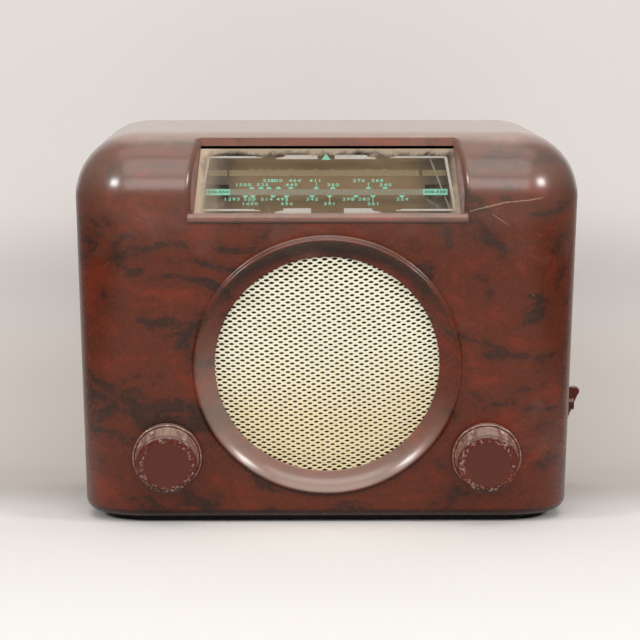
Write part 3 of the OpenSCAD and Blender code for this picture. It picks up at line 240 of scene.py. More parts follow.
def ramp(wire, stops):
    return wire.finish.node("ValToRGB", {"stops": stops}, {"Fac": wire}, "Color")


def step(wire, low, high):
    """0 below low, 1 above high and smooth between."""
    smooth = {"interpolation_type": "SMOOTHSTEP"}
    return wire.finish.node("MapRange", smooth, {"Value": wire, 1: low, 2: high})


def blend(amount, first, second):
    """The first colour at 0, the second at 1."""
    return amount.finish.node("Mix", {"data_type": "RGBA"}, {0: amount, 6: first, 7: second}, 2)


def bump(height, strength, distance, rounding=0.0):
    sockets = {"Height": height, "Strength": strength, "Distance": distance}
    if rounding:
        sockets["Normal"] = height.finish.node("Bevel", {"samples": 4}, {"Radius": rounding})
    return height.finish.node("Bump", {}, sockets)


def specks(finish, scale, size):
    """1 in small round grains spread at random and 0 between them."""
    grain = finish.node("TexVoronoi", {}, {"Vector": finish.place, "Scale": scale}, "Distance")
    return step(grain, size, size * 0.5)


print("moves ready")

# %% [markdown]
# Plain shop finishes differ in a few numbers only: plating, paint, pressed board, moulded plastic.
# One recipe takes them all: two tones under a cloud, a fine grain in the bump and in the gloss, and
# an edge that the shader rounds by a fraction of a millimetre, as every pressed or moulded edge is.

# %% Recipe for plain finishes
WORN_EDGE = 0.0003


def shop_finish(name, tone, worn, gloss, metal=0.0, patch=60.0, grain=900.0, depth=0.00004,
                stretch=(1, 1, 1)):
    """Two tones under a cloud, with a fine grain in the bump and in the gloss."""
    finish = Finish(name)
    patches = cloud(finish, patch, 5.0, 0.6)
    fine = cloud(finish, grain, 3.0, 0.6, place=turned_place(finish, stretch=stretch))
    mottle = step(patches * 0.7 + fine * 0.3, 0.35, 0.66)
    colour = blend(mottle, shade(*tone), shade(*worn))
    sockets = {"Base Color": colour, "Metallic": metal}
    sockets["Roughness"] = gloss + (patches - 0.5) * 0.16 + (fine - 0.5) * 0.12
    sockets["Normal"] = bump(fine, 0.5, depth, WORN_EDGE)
    return finish.skin(sockets)


print("recipe ready")

# %% [markdown]
# Mottled bakelite is made by pressing two or more powders together: a red-brown flows in curls through
# a dark purple-brown, and polish leaves it glossy. A distorted cloud gives the curls, a second one
# breaks their edges. A picture of the mottle would need seams. A cloud in space has none, and the
# curls run round the corners as they do in a moulding. First come the marks of age and the painted
# sheen: a hairline crack is a thin band along a curve of z over x, and dust, painted sheen and chips are
# found by how far they lie from an axis.

# %% Where age and painted sheen show
def hairline(finish, start, end, low, rise, bow, width):
    """1 on a thin line over start to end of the front, which begins at height low, climbs and bows."""
    share = (along(finish, "X") - start) * (1 / (end - start))
    shaky = (cloud(finish, 90.0, 4.0, 0.7) - 0.5) * 0.004
    off = abs(along(finish, "Z") - (share * rise + share * (1 - share) * bow + shaky + low))
    on_front = step(along(finish, "Y"), -0.07, -0.08)
    inside = step(share, -0.01, 0.02) * step(share, 1.01, 0.9) * on_front
    return step(off, width, width * 0.4) * inside


def distance_from(finish, x, z):
    """How far a point of the front is from an axis at x and z, on either side of the middle."""
    up_the_slope = (along(finish, "Z") - z) * (1 / cos(LEAN))
    flat = finish.node("CombineXYZ", {}, {"X": abs(along(finish, "X")) - x, "Y": up_the_slope})
    return finish.node("VectorMath", {"operation": "LENGTH"}, {0: flat}, "Value")


def cabinet_dust_and_sheen(finish, patchy):
    """Dust and painted sheen in the lower part of the round cove, reaching higher on the left, and a haze of
    dust and painted sheen that thickens towards the top roll.
    """
    height = along(finish, "Z")
    in_cove = step(distance_from(finish, 0.0, SPEAKER_Z * MM), 0.0790, 0.0770)
    sunk = height + along(finish, "X") * 0.3 + (patchy - 0.5) * 0.04
    top_haze_and_sheen = step(height + (patchy - 0.5) * 0.05, 0.160, 0.205)
    return in_cove * step(sunk, 0.118, 0.030) * 0.27 + top_haze_and_sheen * 0.09


def chipped_rim(finish, body, patchy):
    """A knob's plain brown face, and pale chips on the rim around it."""
    face_z = KNOB_Z - KNOB_HIGH * sin(LEAN)
    away = distance_from(finish, KNOB_X * MM, face_z * MM)
    rim = step(away, 0.0135, 0.0146) * step(away, 0.0176, 0.0164)
    chips = step(cloud(finish, 620.0, 3.0, 0.6) + (patchy - 0.5) * 0.5, 0.55, 0.61)
    body = blend(step(away, 0.0140, 0.0130), body, shade(85, 39, 27))
    return blend(rim * chips * 0.6, body, shade(173, 153, 134))


def cracked_front(finish, body):
    """The hairline crack on the right of the front, and a short scratch under it."""
    crack = hairline(finish, 0.083, 0.127, 0.1900, 0.0076, 0.006, 0.00045)
    scratch = hairline(finish, 0.096, 0.106, 0.1885, -0.0068, 0.001, 0.0003)
    return blend(crack * 0.5 + scratch * 0.45, body, shade(193, 162, 142))


print("signs of age ready")

# %% [markdown]
# The recipe puts these together. Dust lies where a surface faces up, and painted shade darkens the
# surfaces that face down, such as the upper half of the speaker cove. The clear coat is there only where
# the surface faces up as well, so that the top rolls shine while the leaning front stays as calm as in
# the photograph. The cabinet, the ledges round the dial with their dust and painted sheen, the knobs and
# their worn grips with painted sheen are four mixtures of the one recipe.

# %% Bakelite recipe
def bakelite_finish(name, dark, middle, red, film=0.0, gloss=0.27, fineness=1.0, detail=""):
    """Mottled bakelite under an even film of dust and painted sheen, with painted shade where it faces down.
    A higher fineness makes smaller curls.
    """
    finish = Finish(name)
    flow = turned_place(finish, angles=(24, 38, 12), stretch=(1.0, 1.25, 1.6))
    across_flow = turned_place(finish, angles=(10, 52, 0), stretch=(1, 1, 2.2))
    curls = cloud(finish, 17.0 * fineness, 6.0, 0.60, 1.6, flow)
    torn = cloud(finish, 80.0 * fineness, 5.0, 0.65, 0.8, across_flow)
    veins = curls * 0.70 + torn * 0.30
    body = ramp(veins, [(0.40, dark), (0.47, middle), (0.53, middle), (0.60, red)])
    fine = cloud(finish, 420.0, 4.0, 0.7)
    body = blend(0.12 * step(fine, 0.42, 0.7), body, shade(134, 70, 48))
    up = along(finish, "Z", finish.node("NewGeometry", {}, {}, "Normal"))
    patchy = cloud(finish, 30.0, 5.0, 0.65, 0.5, turned_place(finish, shift=(0.3, 0.1, 0.2)))
    # Painted shade: where a surface faces down, as the upper half of the speaker cove does, it is darkened
    # nearly to black.
    body = blend(step(up, -0.34, -0.60) * 0.85, body, shade(39, 20, 13))
    on_top = step(up + (patchy - 0.5) * 0.2, 0.78, 0.98)
    dust_and_sheen = on_top * 0.37 + step(up, 0.0, 0.5) * 0.10 + film
    dust_and_sheen = dust_and_sheen + step(patchy, 0.55, 0.80) * 0.05
    # On the cabinet, painted sheen joins the dust in the lower cove, more on the left, and along the top
    # roll.
    if detail == "cabinet":
        dust_and_sheen = dust_and_sheen + cabinet_dust_and_sheen(finish, patchy)
    body = blend(dust_and_sheen, body, shade(206, 182, 169))
    body = blend(specks(finish, 120.0, 0.045) * 0.5, body, shade(186, 164, 147))
    if detail == "knob":
        body = chipped_rim(finish, body, patchy)
    if detail == "cabinet":
        body = cracked_front(finish, body)
    sockets = {"Base Color": body, "IOR": 1.5, "Specular IOR Level": 0.28, "Coat Roughness": 0.2}
    sockets["Coat Weight"] = step(up, 0.02, 0.20)
    sockets["Roughness"] = gloss + dust_and_sheen * 0.45 + (fine - 0.5) * 0.10
    ripples = cloud(finish, 28.0, 3.0, 0.5) * 0.8 + fine * 0.05
    sockets["Normal"] = bump(ripples, 0.3, 0.0004, 0.0006)
    return finish.skin(sockets)


cabinet_tones = (shade(52, 30, 21), shade(90, 38, 21), shade(110, 41, 22))
# The ledges' lighter tones are dust and painted sheen.
ledge_tones = (shade(81, 48, 38), shade(114, 61, 47), shade(138, 66, 49))
knob_tones = (shade(68, 24, 15), shade(83, 27, 18), shade(101, 28, 16))
# The grips' pale tones are wear and painted sheen.
grip_tones = (shade(96, 39, 28), shade(138, 96, 81), shade(184, 155, 140))
bakelite = bakelite_finish("mottled_bakelite", *cabinet_tones, detail="cabinet")
dusty_sheened_bakelite = bakelite_finish("dusty_sheened_bakelite", *ledge_tones, film=0.15)
knob_bakelite = bakelite_finish("knob_bakelite", *knob_tones, detail="knob")
worn_sheened_grip = bakelite_finish("worn_sheened_grip", *grip_tones, film=0.06, gloss=0.4, fineness=11.0)
print("bakelite", bakelite.name)

# %% [markdown]
# The finishes of the parts inside and behind follow, one row each, by the slot that the record gives
# each node: black board under the cabinet, brown fibreboard behind, plated, painted and brass metal,
# rubber, cord, ceramic, paper and frosted lamps. A row stops where all the rest is as usual.

# %% Finishes of the carried-over nodes
# slot: tone, worn tone, gloss, metal, patches, grain, depth of grain, stretch of grain
plain = {
    "black_board": ((26, 24, 23), (44, 40, 37), 0.62, 0.0, 60.0, 700.0),
    "fibreboard": ((96, 66, 42), (128, 94, 62), 0.78, 0.0, 35.0, 520.0, 0.00015, (1, 1, 2.6)),
    "plated_steel": ((150, 150, 146), (112, 106, 96), 0.34, 1.0, 90.0, 1200.0, 0.00002),
    "brass": ((176, 142, 82), (120, 92, 54), 0.36, 1.0, 80.0, 1000.0, 0.00002),
    "rubber": ((30, 28, 27), (52, 48, 45), 0.7, 0.0, 60.0, 800.0),
    "spring_steel": ((150, 138, 116), (110, 92, 66), 0.42, 0.8),
    "frame_steel": ((136, 132, 118), (104, 96, 80), 0.46, 0.7),
    "chassis_steel": ((140, 138, 130), (108, 100, 86), 0.42, 0.85, 30.0),
    "pointer": ((196, 184, 160), (168, 150, 122), 0.5),
    "dark_plastic": ((48, 32, 26), (70, 46, 36), 0.34),
    "cord": ((150, 128, 92), (108, 86, 58), 0.8, 0.0, 60.0, 2400.0, 0.0001),
    "control_case": ((120, 112, 100), (84, 76, 66), 0.4, 0.8),
    "board": ((112, 70, 38), (140, 92, 54), 0.5, 0.0, 60.0, 600.0, 0.00004, (1, 1, 4)),
    "gang_plate": ((156, 154, 148), (124, 118, 108), 0.36, 0.9),
    "vane": ((186, 186, 184), (150, 148, 144), 0.3, 0.95),
    "electrode": ((74, 72, 70), (46, 44, 42), 0.5, 0.8),
    "can": ((176, 176, 174), (142, 138, 132), 0.34, 0.9, 40.0),
    "ceramic": ((108, 124, 104), (78, 88, 76), 0.4),
    "lamination": ((72, 68, 64), (98, 84, 68), 0.55, 0.6, 60.0, 1400.0, 0.00004, (1, 6, 1)),
    "winding": ((122, 70, 34), (160, 98, 50), 0.42, 0.0, 60.0, 1600.0, 0.00012, (1, 1, 5)),
    "basket": ((58, 60, 58), (82, 80, 74), 0.45, 0.3),
    "cone_paper": ((58, 48, 38), (44, 36, 29), 0.9, 0.0, 60.0, 500.0, 0.0002),
    "spider_cloth": ((150, 118, 70), (122, 92, 54), 0.85, 0.0, 60.0, 1500.0, 0.0002),
    "magnet": ((66, 68, 66), (92, 88, 82), 0.4, 0.2),
    "lamp": ((214, 204, 178), (188, 170, 132), 0.3),
}
finishes = {name: shop_finish(name, *row) for name, row in plain.items()}
print("finishes", len(finishes))

# %% [markdown]
# Glass needs a different idea: most of a ray passes straight on, a little is mirrored more and more
# towards the edge of view, and dust sits on top. A Mix Shader chooses between nothing and a bright
# gloss by Fresnel, and a second one lays the dust, thickest at the two ends and along the top, where it
# also stands for a painted reflection.

# %% Dial glass and valve glass
def clear_glass(name, dust_all, dust_edge, dust_tone):
    """Glass under some dust all over and more of it along its edges; along the top it is also painted
    reflection.
    """
    finish = Finish(name)
    mirror = finish.node("Fresnel", {}, {"IOR": 1.5}) * 0.8
    open_way = finish.node("BsdfTransparent", {}, {"Color": grey(0.97)})
    gloss = finish.node("BsdfGlossy", {}, {"Color": grey(1.0), "Roughness": 0.05})
    pane = finish.node("MixShader", {}, {0: mirror, 1: open_way, 2: gloss})
    dirt = cloud(finish, 60.0, 6.0, 0.7, 0.6)
    across = along(finish, "X")
    ends = step(abs(across) + dirt * 0.008, 0.0745, 0.0815)
    # Painted reflection: the band along the top of the dial glass is dust and a painted reflection.
    top_dust_and_reflection = step(along(finish, "Z") + (dirt - 0.5) * 0.018, 0.2205, 0.2250)
    left = step(across * -1.0 + (dirt - 0.5) * 0.016, 0.058, 0.080) * 0.35
    film = dust_all + (dirt - 0.3) * 0.10 + step(dirt, 0.62, 0.78) * 0.20
    browner = step(across, 0.0, 0.06) * 0.28
    dust_and_sheen = film + (ends * (0.75 - browner) + top_dust_and_reflection * 0.42 + left) * dust_edge
    dust_and_sheen = finish.node("Clamp", {}, {"Value": dust_and_sheen, "Min": 0.0, "Max": 0.85})
    powder = finish.node("BsdfDiffuse", {}, {"Color": dust_tone, "Roughness": 0.6})
    return finish.show(finish.node("MixShader", {}, {0: dust_and_sheen, 1: pane, 2: powder}))


finishes["dial_glass"] = clear_glass("dial_glass_pane", 0.015, 1.0, shade(226, 208, 186))
finishes["valve_glass"] = clear_glass("valve_glass", 0.04, 0.0, shade(150, 150, 146))
print("glass ready")

# %% [markdown]
# The dial's card is olive brown with painted light at its middle, as if lit from behind, and painted
# shade makes it nearly black at its ends. The printed inks are pale grey, mint green and amber, and each
# glows a little, which is painted light. The mesh is thick cream enamel with tan dirt stains here and
# there, and painted shade turns it tan towards the bottom. Each reads its place on the object, so a
# pattern stays put when the part moves.

# %% Card, inks and mesh enamel
def card_finish():
    finish = Finish("dial_card")
    grain = cloud(finish, 120.0, 5.0, 0.6)
    # Painted shade: the card turns nearly black towards both ends, where the cheeks shade it.
    ends = step(abs(along(finish, "X")) + (grain - 0.5) * 0.008, 0.046, 0.066)
    colour = blend(ends, shade(164, 130, 82), shade(72, 55, 39))
    colour = blend(step(grain, 0.4, 0.7) * 0.3, colour, shade(184, 158, 114))
    sockets = {"Base Color": colour, "Roughness": 0.42 + (grain - 0.5) * 0.2}
    sockets["Normal"] = bump(grain, 0.3, 0.00005)
    return finish.skin(sockets)


def ink(name, tone, worn):
    finish = Finish(name)
    wear = cloud(finish, 700.0, 4.0, 0.7)
    colour = blend(step(wear, 0.5, 0.75), tone, worn)
    sockets = {"Base Color": colour, "Roughness": 0.5 + (wear - 0.5) * 0.2}
    # Painted light: every ink glows a little, so the print stays bright behind the glass.
    sockets.update({"Emission Color": colour, "Emission Strength": 0.1})
    return finish.skin(sockets)


def mesh_enamel():
    finish = Finish("mesh_enamel")
    dirt = cloud(finish, 40.0, 5.0, 0.6)
    fine = cloud(finish, 900.0, 3.0, 0.6)
    # Painted shade: the enamel turns tan towards the bottom of the mesh.
    low = step(along(finish, "Z") + (dirt - 0.5) * 0.06, 0.115, 0.055)
    colour = blend(low * 0.7, shade(242, 238, 214), shade(234, 214, 164))
    stained = step(dirt * 0.6 + fine * 0.4, 0.5, 0.72)
    colour = blend(stained * 0.35, colour, shade(193, 164, 116))
    sockets = {"Base Color": colour, "Roughness": 0.42 + (fine - 0.5) * 0.2}
    sockets["Normal"] = bump(fine, 0.25, 0.00006)
    return finish.skin(sockets)


finishes["dial_card"] = card_finish()
finishes["grille_enamel"] = mesh_enamel()
pale_ink = ink("pale_ink", shade(237, 232, 223), shade(206, 197, 182))
mint_ink = ink("mint_ink", shade(155, 252, 219), shade(129, 241, 188))
band_ink = ink("band_ink", shade(162, 157, 134), shade(140, 129, 103))
amber_ink = ink("amber_ink", shade(184, 162, 120), shade(149, 127, 90))
dark_ink = ink("dark_ink", shade(33, 68, 53), shade(44, 77, 61))
finishes["bakelite"] = bakelite
finishes["knob_bakelite"] = knob_bakelite
print("finishes", len(finishes))

# %% [markdown]
# The carried-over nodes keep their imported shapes, so they only change finish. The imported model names
# each node's slot in its material, which makes the exchange one loop.

# %% Dress the nodes
for name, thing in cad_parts.items():
    slot_name = thing.data.materials[0].name.split(".")[0]
    thing.data.materials.clear()
    thing.data.materials.append(finishes[slot_name])
print("dressed", len(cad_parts), "nodes")

# %% [markdown]
# Two helpers end every piece. One turns a bmesh into an object with its normals outward, its place in its
# mesh and its slots and finishes set. The other cuts or joins solids: a Boolean modifier is evaluated at
# once and replaced by its result, so later steps work on plain mesh. finish_piece then puts it on its body.

# %% Helpers for pieces
def solid(name, bm, *materials):
    """An object from a bmesh, with its doubles merged and its faces turned outwards."""
    bmesh.ops.remove_doubles(bm, verts=bm.verts, dist=0.0005)
    bmesh.ops.recalc_face_normals(bm, faces=bm.faces)
    mesh = bpy.data.meshes.new(name)
    bm.to_mesh(mesh)
    bm.free()
    for material in materials:
        mesh.materials.append(material)
    return stand(name, mesh)


def verts_of(result):
    """The vertices among the elements that an operator hands back."""
    return [v for v in result if isinstance(v, bmesh.types.BMVert)]


def bake(thing):
    """Replaces an object's mesh by what its modifiers make of it."""
    shown = thing.evaluated_get(bpy.context.evaluated_depsgraph_get())
    made = bpy.data.meshes.new_from_object(shown)
    thing.modifiers.clear()
    thing.data = made


def combine(base, tool, operation):
    """Cuts one solid from another or joins it on, and drops the tool."""
    joint = base.modifiers.new("combine", "BOOLEAN")
    joint.operation = operation
    joint.solver = "EXACT"
    joint.object = tool
    bake(base)
    bpy.data.objects.remove(tool)


def finish_piece(thing, body, stands_for=(), sharp=32.0, weighted=True):
    """Scales millimetres to metres, smooths all but the sharp edges and puts the piece on its body."""
    bm = bmesh.new()
    bm.from_mesh(thing.data)
    bmesh.ops.scale(bm, vec=(MM, MM, MM), verts=bm.verts)
    for face in bm.faces:
        face.smooth = True
    for edge in bm.edges:
        edge.smooth = edge.calc_face_angle(0.0) < radians(sharp)
    bm.to_mesh(thing.data)
    bm.free()
    if weighted:
        even = thing.modifiers.new("even normals", "WEIGHTED_NORMAL")
        even.keep_sharp = True
        bake(thing)
    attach(thing, body)
    if stands_for:
        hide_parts(*stands_for)
    print(thing.name, "faces", len(thing.data.polygons))


print("piece helpers ready")

# %% [markdown]
# Many pieces are turned: a profile is drawn as radius and height, and spun about the board's z axis.
# A closed profile gives a ring, and one that starts and ends on the axis gives a solid knob.

# %% Turned shapes and holes
def arc(middle, radius, angles):
    """Points on an arc about a middle, at angles in degrees."""
    turns = [radians(a) for a in angles]
    return [(middle[0] + radius * cos(t), middle[1] + radius * sin(t)) for t in turns]


def turn(bm, profile, steps, board, closed=False):
    """Spins a profile of radius and height about a board's z axis."""
    verts = [bm.verts.new((radius, 0, height)) for radius, height in profile]
    pairs = list(zip(verts, verts[1:] + verts[:1]))
    edges = [bm.edges.new(pair) for pair in (pairs if closed else pairs[:-1])]
    settings = {"cent": (0, 0, 0), "axis": (0, 0, 1), "angle": 2 * pi, "steps": steps, "use_merge": True}
    before = set(bm.verts) - set(verts)
    bmesh.ops.spin(bm, geom=verts + edges, **settings)
    made = [v for v in bm.verts if v not in before]
    bmesh.ops.transform(bm, matrix=board, verts=made)


def peg(bm, radius, low, high, board, steps=48):
    """A round bar or hole along a board's z axis."""
    length = high - low
    place = board @ at(0, 0, low + length / 2)
    sizes = {"radius1": radius, "radius2": radius, "depth": length}
    bmesh.ops.create_cone(bm, cap_ends=True, segments=steps, matrix=place, **sizes)


along_y = Matrix.Rotation(-pi / 2, 4, "X")
along_x = Matrix.Rotation(pi / 2, 4, "Y")
side_view = Matrix(((0, 0, 1, 0), (1, 0, 0, 0), (0, 1, 0, 0), (0, 0, 0, 1)))
print("a quarter arc", [tuple(round(v, 2) for v in point) for point in arc((0, 0), 1, (0, 45, 90))])

# %% [markdown]
# The cabinet's outside is what a tight skin makes when it is pulled over balls at the two front top
# corners, hoops at the rear and a stack of discs at the foot. bmesh's convex hull is that skin. A box
# with bevelled edges would need two radii to meet on a leaning corner, which the bevel can't blend.
# The same skin over smaller balls is the hollow, so the wall is even.

# %% Cabinet form
def wrapped_form(inset, rear):
    """The cabinet's outside, or the hollow in it where inset is the wall."""
    bm = bmesh.new()
    radius = CORNER - inset
    edge = FOOT_EDGE - inset
    low = FOOT + inset
    for side in (-1, 1):
        ball = at(side * (HALF_WIDTH - CORNER), CORNER_Y, CORNER_Z)
        bmesh.ops.create_uvsphere(bm, u_segments=96, v_segments=48, radius=radius, matrix=ball)
        hoop = at(side * (HALF_WIDTH - CORNER), rear, CORNER_Z) @ along_y
        bmesh.ops.create_circle(bm, segments=96, radius=radius, matrix=hoop)
        hoop = at(side * (side_x(FOOT) - FOOT_EDGE), rear, FOOT + FOOT_EDGE) @ along_y
        bmesh.ops.create_circle(bm, segments=48, radius=edge, matrix=hoop)
        centre_y = face_y(FOOT + FOOT_EDGE) + CORNER - inset + inset / cos(LEAN)
        for tilt in range(0, 91, 9):
            lift = low + edge * (1 - sin(radians(tilt)))
            reach = radius - edge * (1 - cos(radians(tilt)))
            disc = at(side * (side_x(FOOT) - CORNER), centre_y, lift)
            bmesh.ops.create_circle(bm, segments=96, radius=reach, matrix=disc)
    bmesh.ops.delete(bm, geom=bm.edges[:], context="EDGES_FACES")
    skin = bmesh.ops.convex_hull(bm, input=bm.verts[:])
    spare = set(verts_of(skin["geom_interior"] + skin["geom_unused"]))
    bmesh.ops.delete(bm, geom=list(spare), context="VERTS")
    bmesh.ops.dissolve_limit(bm, angle_limit=radians(0.3), verts=bm.verts, edges=bm.edges)
    print("form faces", len(bm.faces))
    return bm


cabinet = solid("cabinet_shell", wrapped_form(0.0, REAR), bakelite, dusty_sheened_bakelite)
combine(cabinet, solid("hollow", wrapped_form(WALL, REAR + 2.0)), "DIFFERENCE")

# %% [markdown]
# The ring round the speaker is turned with its cove, so the front first loses a round hole and then
# gains one spun solid. Its outer foot runs out in a small fillet just under the surface, so the joint
# can't be seen. The bead is nearly sharp, and it catches the light as a thin bright line. The bosses
# that take the screws of the rear cover and of the base plate are joined on in the same step.

# %% Ring and bosses
RING_HOLE = 81.0
COVE = 20.3
COVE_ANGLES = range(-78, -42, 5)
BEAD = 1.15
BASE_XY = [(side * 114.0, y) for side in (-1, 1) for y in (-22.0, 72.0)]
COVER_XZ = [(side * (side_x(z) - WALL - 5.0), z) for side in (-1, 1) for z in (FOOT + 28.0, SILL - 0.5)]

speaker_board = front_board(0, SPEAKER_Z)
bm = bmesh.new()
peg(bm, RING_HOLE, -12.0, 12.0, speaker_board, 192)
combine(cabinet, solid("ring_hole", bm), "DIFFERENCE")

first = radians(COVE_ANGLES[0])
cove_middle = (67.0 - COVE * cos(first), -3.25 - COVE * sin(first))
inside = [(APERTURE, -4.46), (APERTURE, -3.6), (APERTURE + 0.1, -3.36)]
cove = arc(cove_middle, COVE, COVE_ANGLES)
bead = arc((78.3, 2.3), BEAD, range(120, -1, -20))
fillet = [(79.6, 1.5), (79.8, 0.9), (80.3, 0.42), (81.2, 0.16), (82.4, 0.04), (83.6, -0.02)]
foot = [(83.8, -1.6), (81.2, -4.46)]
bm = bmesh.new()
turn(bm, inside + cove + bead + fillet + foot, 192, speaker_board, closed=True)
for x, z in COVER_XZ:
    peg(bm, 6.5, 80.3, 100.3, at(x, 0, z) @ along_y)
for x, y in BASE_XY:
    peg(bm, 8.0, FOOT + 1.0, 13.9, at(x, y, 0))
combine(cabinet, solid("ring_and_bosses", bm), "UNION")
print("cabinet faces", len(cabinet.data.polygons))

# %% [markdown]
# The glass leans back behind the rounded front corner, so the opening's sides are cheeks that fill the
# space between them. Each is a side view drawn once and extruded. The sill is a round bar let into the
# front just below the glass, with softly rounded ends.

# %% Cheeks and sill
SILL_END = 82.4
round_off = {"affect": "EDGES", "profile": 0.5, "material": -1}


def extruded(bm, outline, depth, board):
    """A flat outline drawn on a board, given a depth along its z axis."""
    verts = [bm.verts.new((x, y, 0)) for x, y in outline]
    face = bm.faces.new(verts)
    far = verts_of(bmesh.ops.extrude_face_region(bm, geom=[face])["geom"])
    bmesh.ops.translate(bm, vec=(0, 0, depth), verts=far)
    bmesh.ops.transform(bm, matrix=board, verts=verts + far)


behind_glass = GLASS_Y - 0.3
glass_top = (behind_glass + GLASS_HIGH * sin(GLASS_LEAN), GLASS_FOOT + GLASS_HIGH * cos(GLASS_LEAN))
cheek = [(face_y(GLASS_FOOT) + WALL / 2, GLASS_FOOT)]
cheek += arc((CORNER_Y, CORNER_Z), CORNER - 2.0, range(192, 113, -6))
cheek += [glass_top, (behind_glass, GLASS_FOOT)]
bm = bmesh.new()
for start in (-87.6, 72.08):
    extruded(bm, cheek, 15.52, at(start, 0, 0) @ side_view)
combine(cabinet, solid("cheeks", bm), "UNION")

bm = bmesh.new()
sill_board = at(0, face_y(SILL) + 1.2, SILL - 2.6) @ along_x
peg(bm, 3.0, -SILL_END, SILL_END, sill_board)
end_rims = [e for e in bm.edges if e.verts[0].co.x * e.verts[1].co.x > 0]
bmesh.ops.bevel(bm, geom=end_rims, offset=1.4, segments=4, **round_off)
combine(cabinet, solid("sill", bm), "UNION")
print("cabinet faces", len(cabinet.data.polygons))

# %% [markdown]
# Everything that is cut away goes into one tool: the flared dial opening, the holes for the spindles
# and screws, and the air slots in the floor. One Boolean is quicker than forty and leaves fewer slivers.

# %% Openings
OPENING_DEEP = 43.0


def slot_tool(bm, x, y, long, wide, low, high):
    """A round-ended slot along y."""
    place = at(x, y, (low + high) / 2) @ Matrix.Diagonal((wide, long, high - low, 1))
    made = bmesh.ops.create_cube(bm, size=1.0, matrix=place)["verts"]
    own = [e for e in bm.edges if e.verts[0] in made and e.verts[1] in made]
    upright = [e for e in own if abs(e.verts[0].co.z - e.verts[1].co.z) > 1]
    bmesh.ops.bevel(bm, geom=upright, offset=wide / 2 - 0.02, segments=5, **round_off)


def opening_half(y):
    """Half the dial opening's width, which flares towards the front."""
    return 74.5 + (LIP - 2 - y) * 0.29


bm = bmesh.new()
front = LIP - OPENING_DEEP
front_half = opening_half(front)
back_half = opening_half(LIP)
outline = [(-front_half, front), (front_half, front), (back_half, LIP), (-back_half, LIP)]
extruded(bm, outline, 80.0, at(0, 0, SILL))
for x in (-88, -66, -44, -22, 22, 44, 66, 88):
    for y in (8.0, 62.0):
        slot_tool(bm, x, y, 30.0, 3.5, FOOT - 1, FOOT + WALL + 1)
for side in (-1, 1):
    peg(bm, 6.5, -9.5, 5.5, front_board(side * KNOB_X, KNOB_Z))
for x, z in COVER_XZ:
    peg(bm, 1.6, 86.5, 101.5, at(x, 0, z) @ along_y, 24)
for x, y in BASE_XY:
    peg(bm, 2.3, FOOT - 1, 17.0, at(x, y, 0), 24)
for angle in (45, 135, 225, 315):
    around = speaker_board @ Matrix.Rotation(radians(angle), 4, "Z") @ at(77.0, 0, 0)
    peg(bm, 1.55, -5.5, -0.5, around, 24)
peg(bm, 5.0, 129.0, 159.0, at(0, WAVEBAND_Y, WAVEBAND_Z) @ along_x, 32)
combine(cabinet, solid("openings", bm), "DIFFERENCE")
print("cabinet faces", len(cabinet.data.polygons))

# %% [markdown]
# In the moulding the upright edges of the dial opening are rolled over, about four millimetres, and
# each shows a thin upright highlight. They are picked by where they lie and bevelled. The flat of each
# cheek behind them, the sill and the lip over the glass keep dust, and the sill and the lip also carry
# painted sheen, so they take the finish of dust and painted sheen.

# %% Rolled edges and dusty cheeks
bm = bmesh.new()
bm.from_mesh(cabinet.data)
rolled = []
for edge in bm.edges:
    middle = (edge.verts[0].co + edge.verts[1].co) / 2
    from_axis = hypot(middle.y - CORNER_Y, middle.z - CORNER_Z)
    outside_form = from_axis > CORNER - 0.4 or (middle.z < TANGENT_Z and middle.y < face_y(middle.z) + 0.4)
    in_opening = 73 < abs(middle.x) < 84 and middle.z > SILL + 0.1 and middle.y < LIP + 0.2
    if in_opening and outside_form and edge.calc_face_angle(0.0) > radians(45):
        if abs(edge.verts[0].co.x - edge.verts[1].co.x) < 3.0:
            rolled.append(edge)
bmesh.ops.bevel(bm, geom=rolled, offset=3.8, segments=6, clamp_overlap=False, **round_off)
sheened_and_dusty = 0
for face in bm.faces:
    middle = face.calc_center_median()
    sill_face = abs(middle.z - SILL + 2.6) < 3.1 and middle.y < face_y(middle.z) - 0.2 and abs(middle.x) < 83
    cheek_face = abs(middle.x) < 84 and middle.z > SILL and middle.y < LIP + 1 and abs(face.normal.x) > 0.85
    lip_face = abs(middle.y - LIP) < 0.2 and middle.z > CORNER_Z + 20 and face.normal.y < -0.9
    # The cheeks keep dust, and the sill and the lip take painted sheen as well.
    if sill_face or cheek_face or lip_face:
        face.material_index = 1
        sheened_and_dusty += 1
bm.to_mesh(cabinet.data)
bm.free()
print("rolled edges", len(rolled), "dusted faces", sheened_and_dusty)
finish_piece(cabinet, "case", ["cabinet"])

# %% [markdown]
# The mesh is expanded metal: a sheet slit in staggered rows and stretched, which leaves about fifteen
# hundred leaning slots. A square grid turned by 45 degrees and flattened is that lattice, and its rows
# climb by four degrees, as they do in the photograph. A bump map would stay closed from every side.

# %% Speaker mesh
PITCH_X = 5.85
PITCH_Y = 3.4
MESH_TURN = radians(4)
MESH_EDGE = 69.2
CELLS = 50
CELL = PITCH_X / sqrt(2)

bm = bmesh.new()
bmesh.ops.create_grid(bm, x_segments=CELLS, y_segments=CELLS, size=CELLS * CELL / 2)
bmesh.ops.rotate(bm, matrix=Matrix.Rotation(pi / 4, 3, "Z"), verts=bm.verts)
bmesh.ops.scale(bm, vec=(1, PITCH_Y / PITCH_X, 1), verts=bm.verts)
bmesh.ops.rotate(bm, matrix=Matrix.Rotation(MESH_TURN, 3, "Z"), verts=bm.verts)
outer = [f for f in bm.faces if f.calc_center_median().length > MESH_EDGE]
bmesh.ops.delete(bm, geom=outer, context="FACES")
print("slots", len(bm.faces))

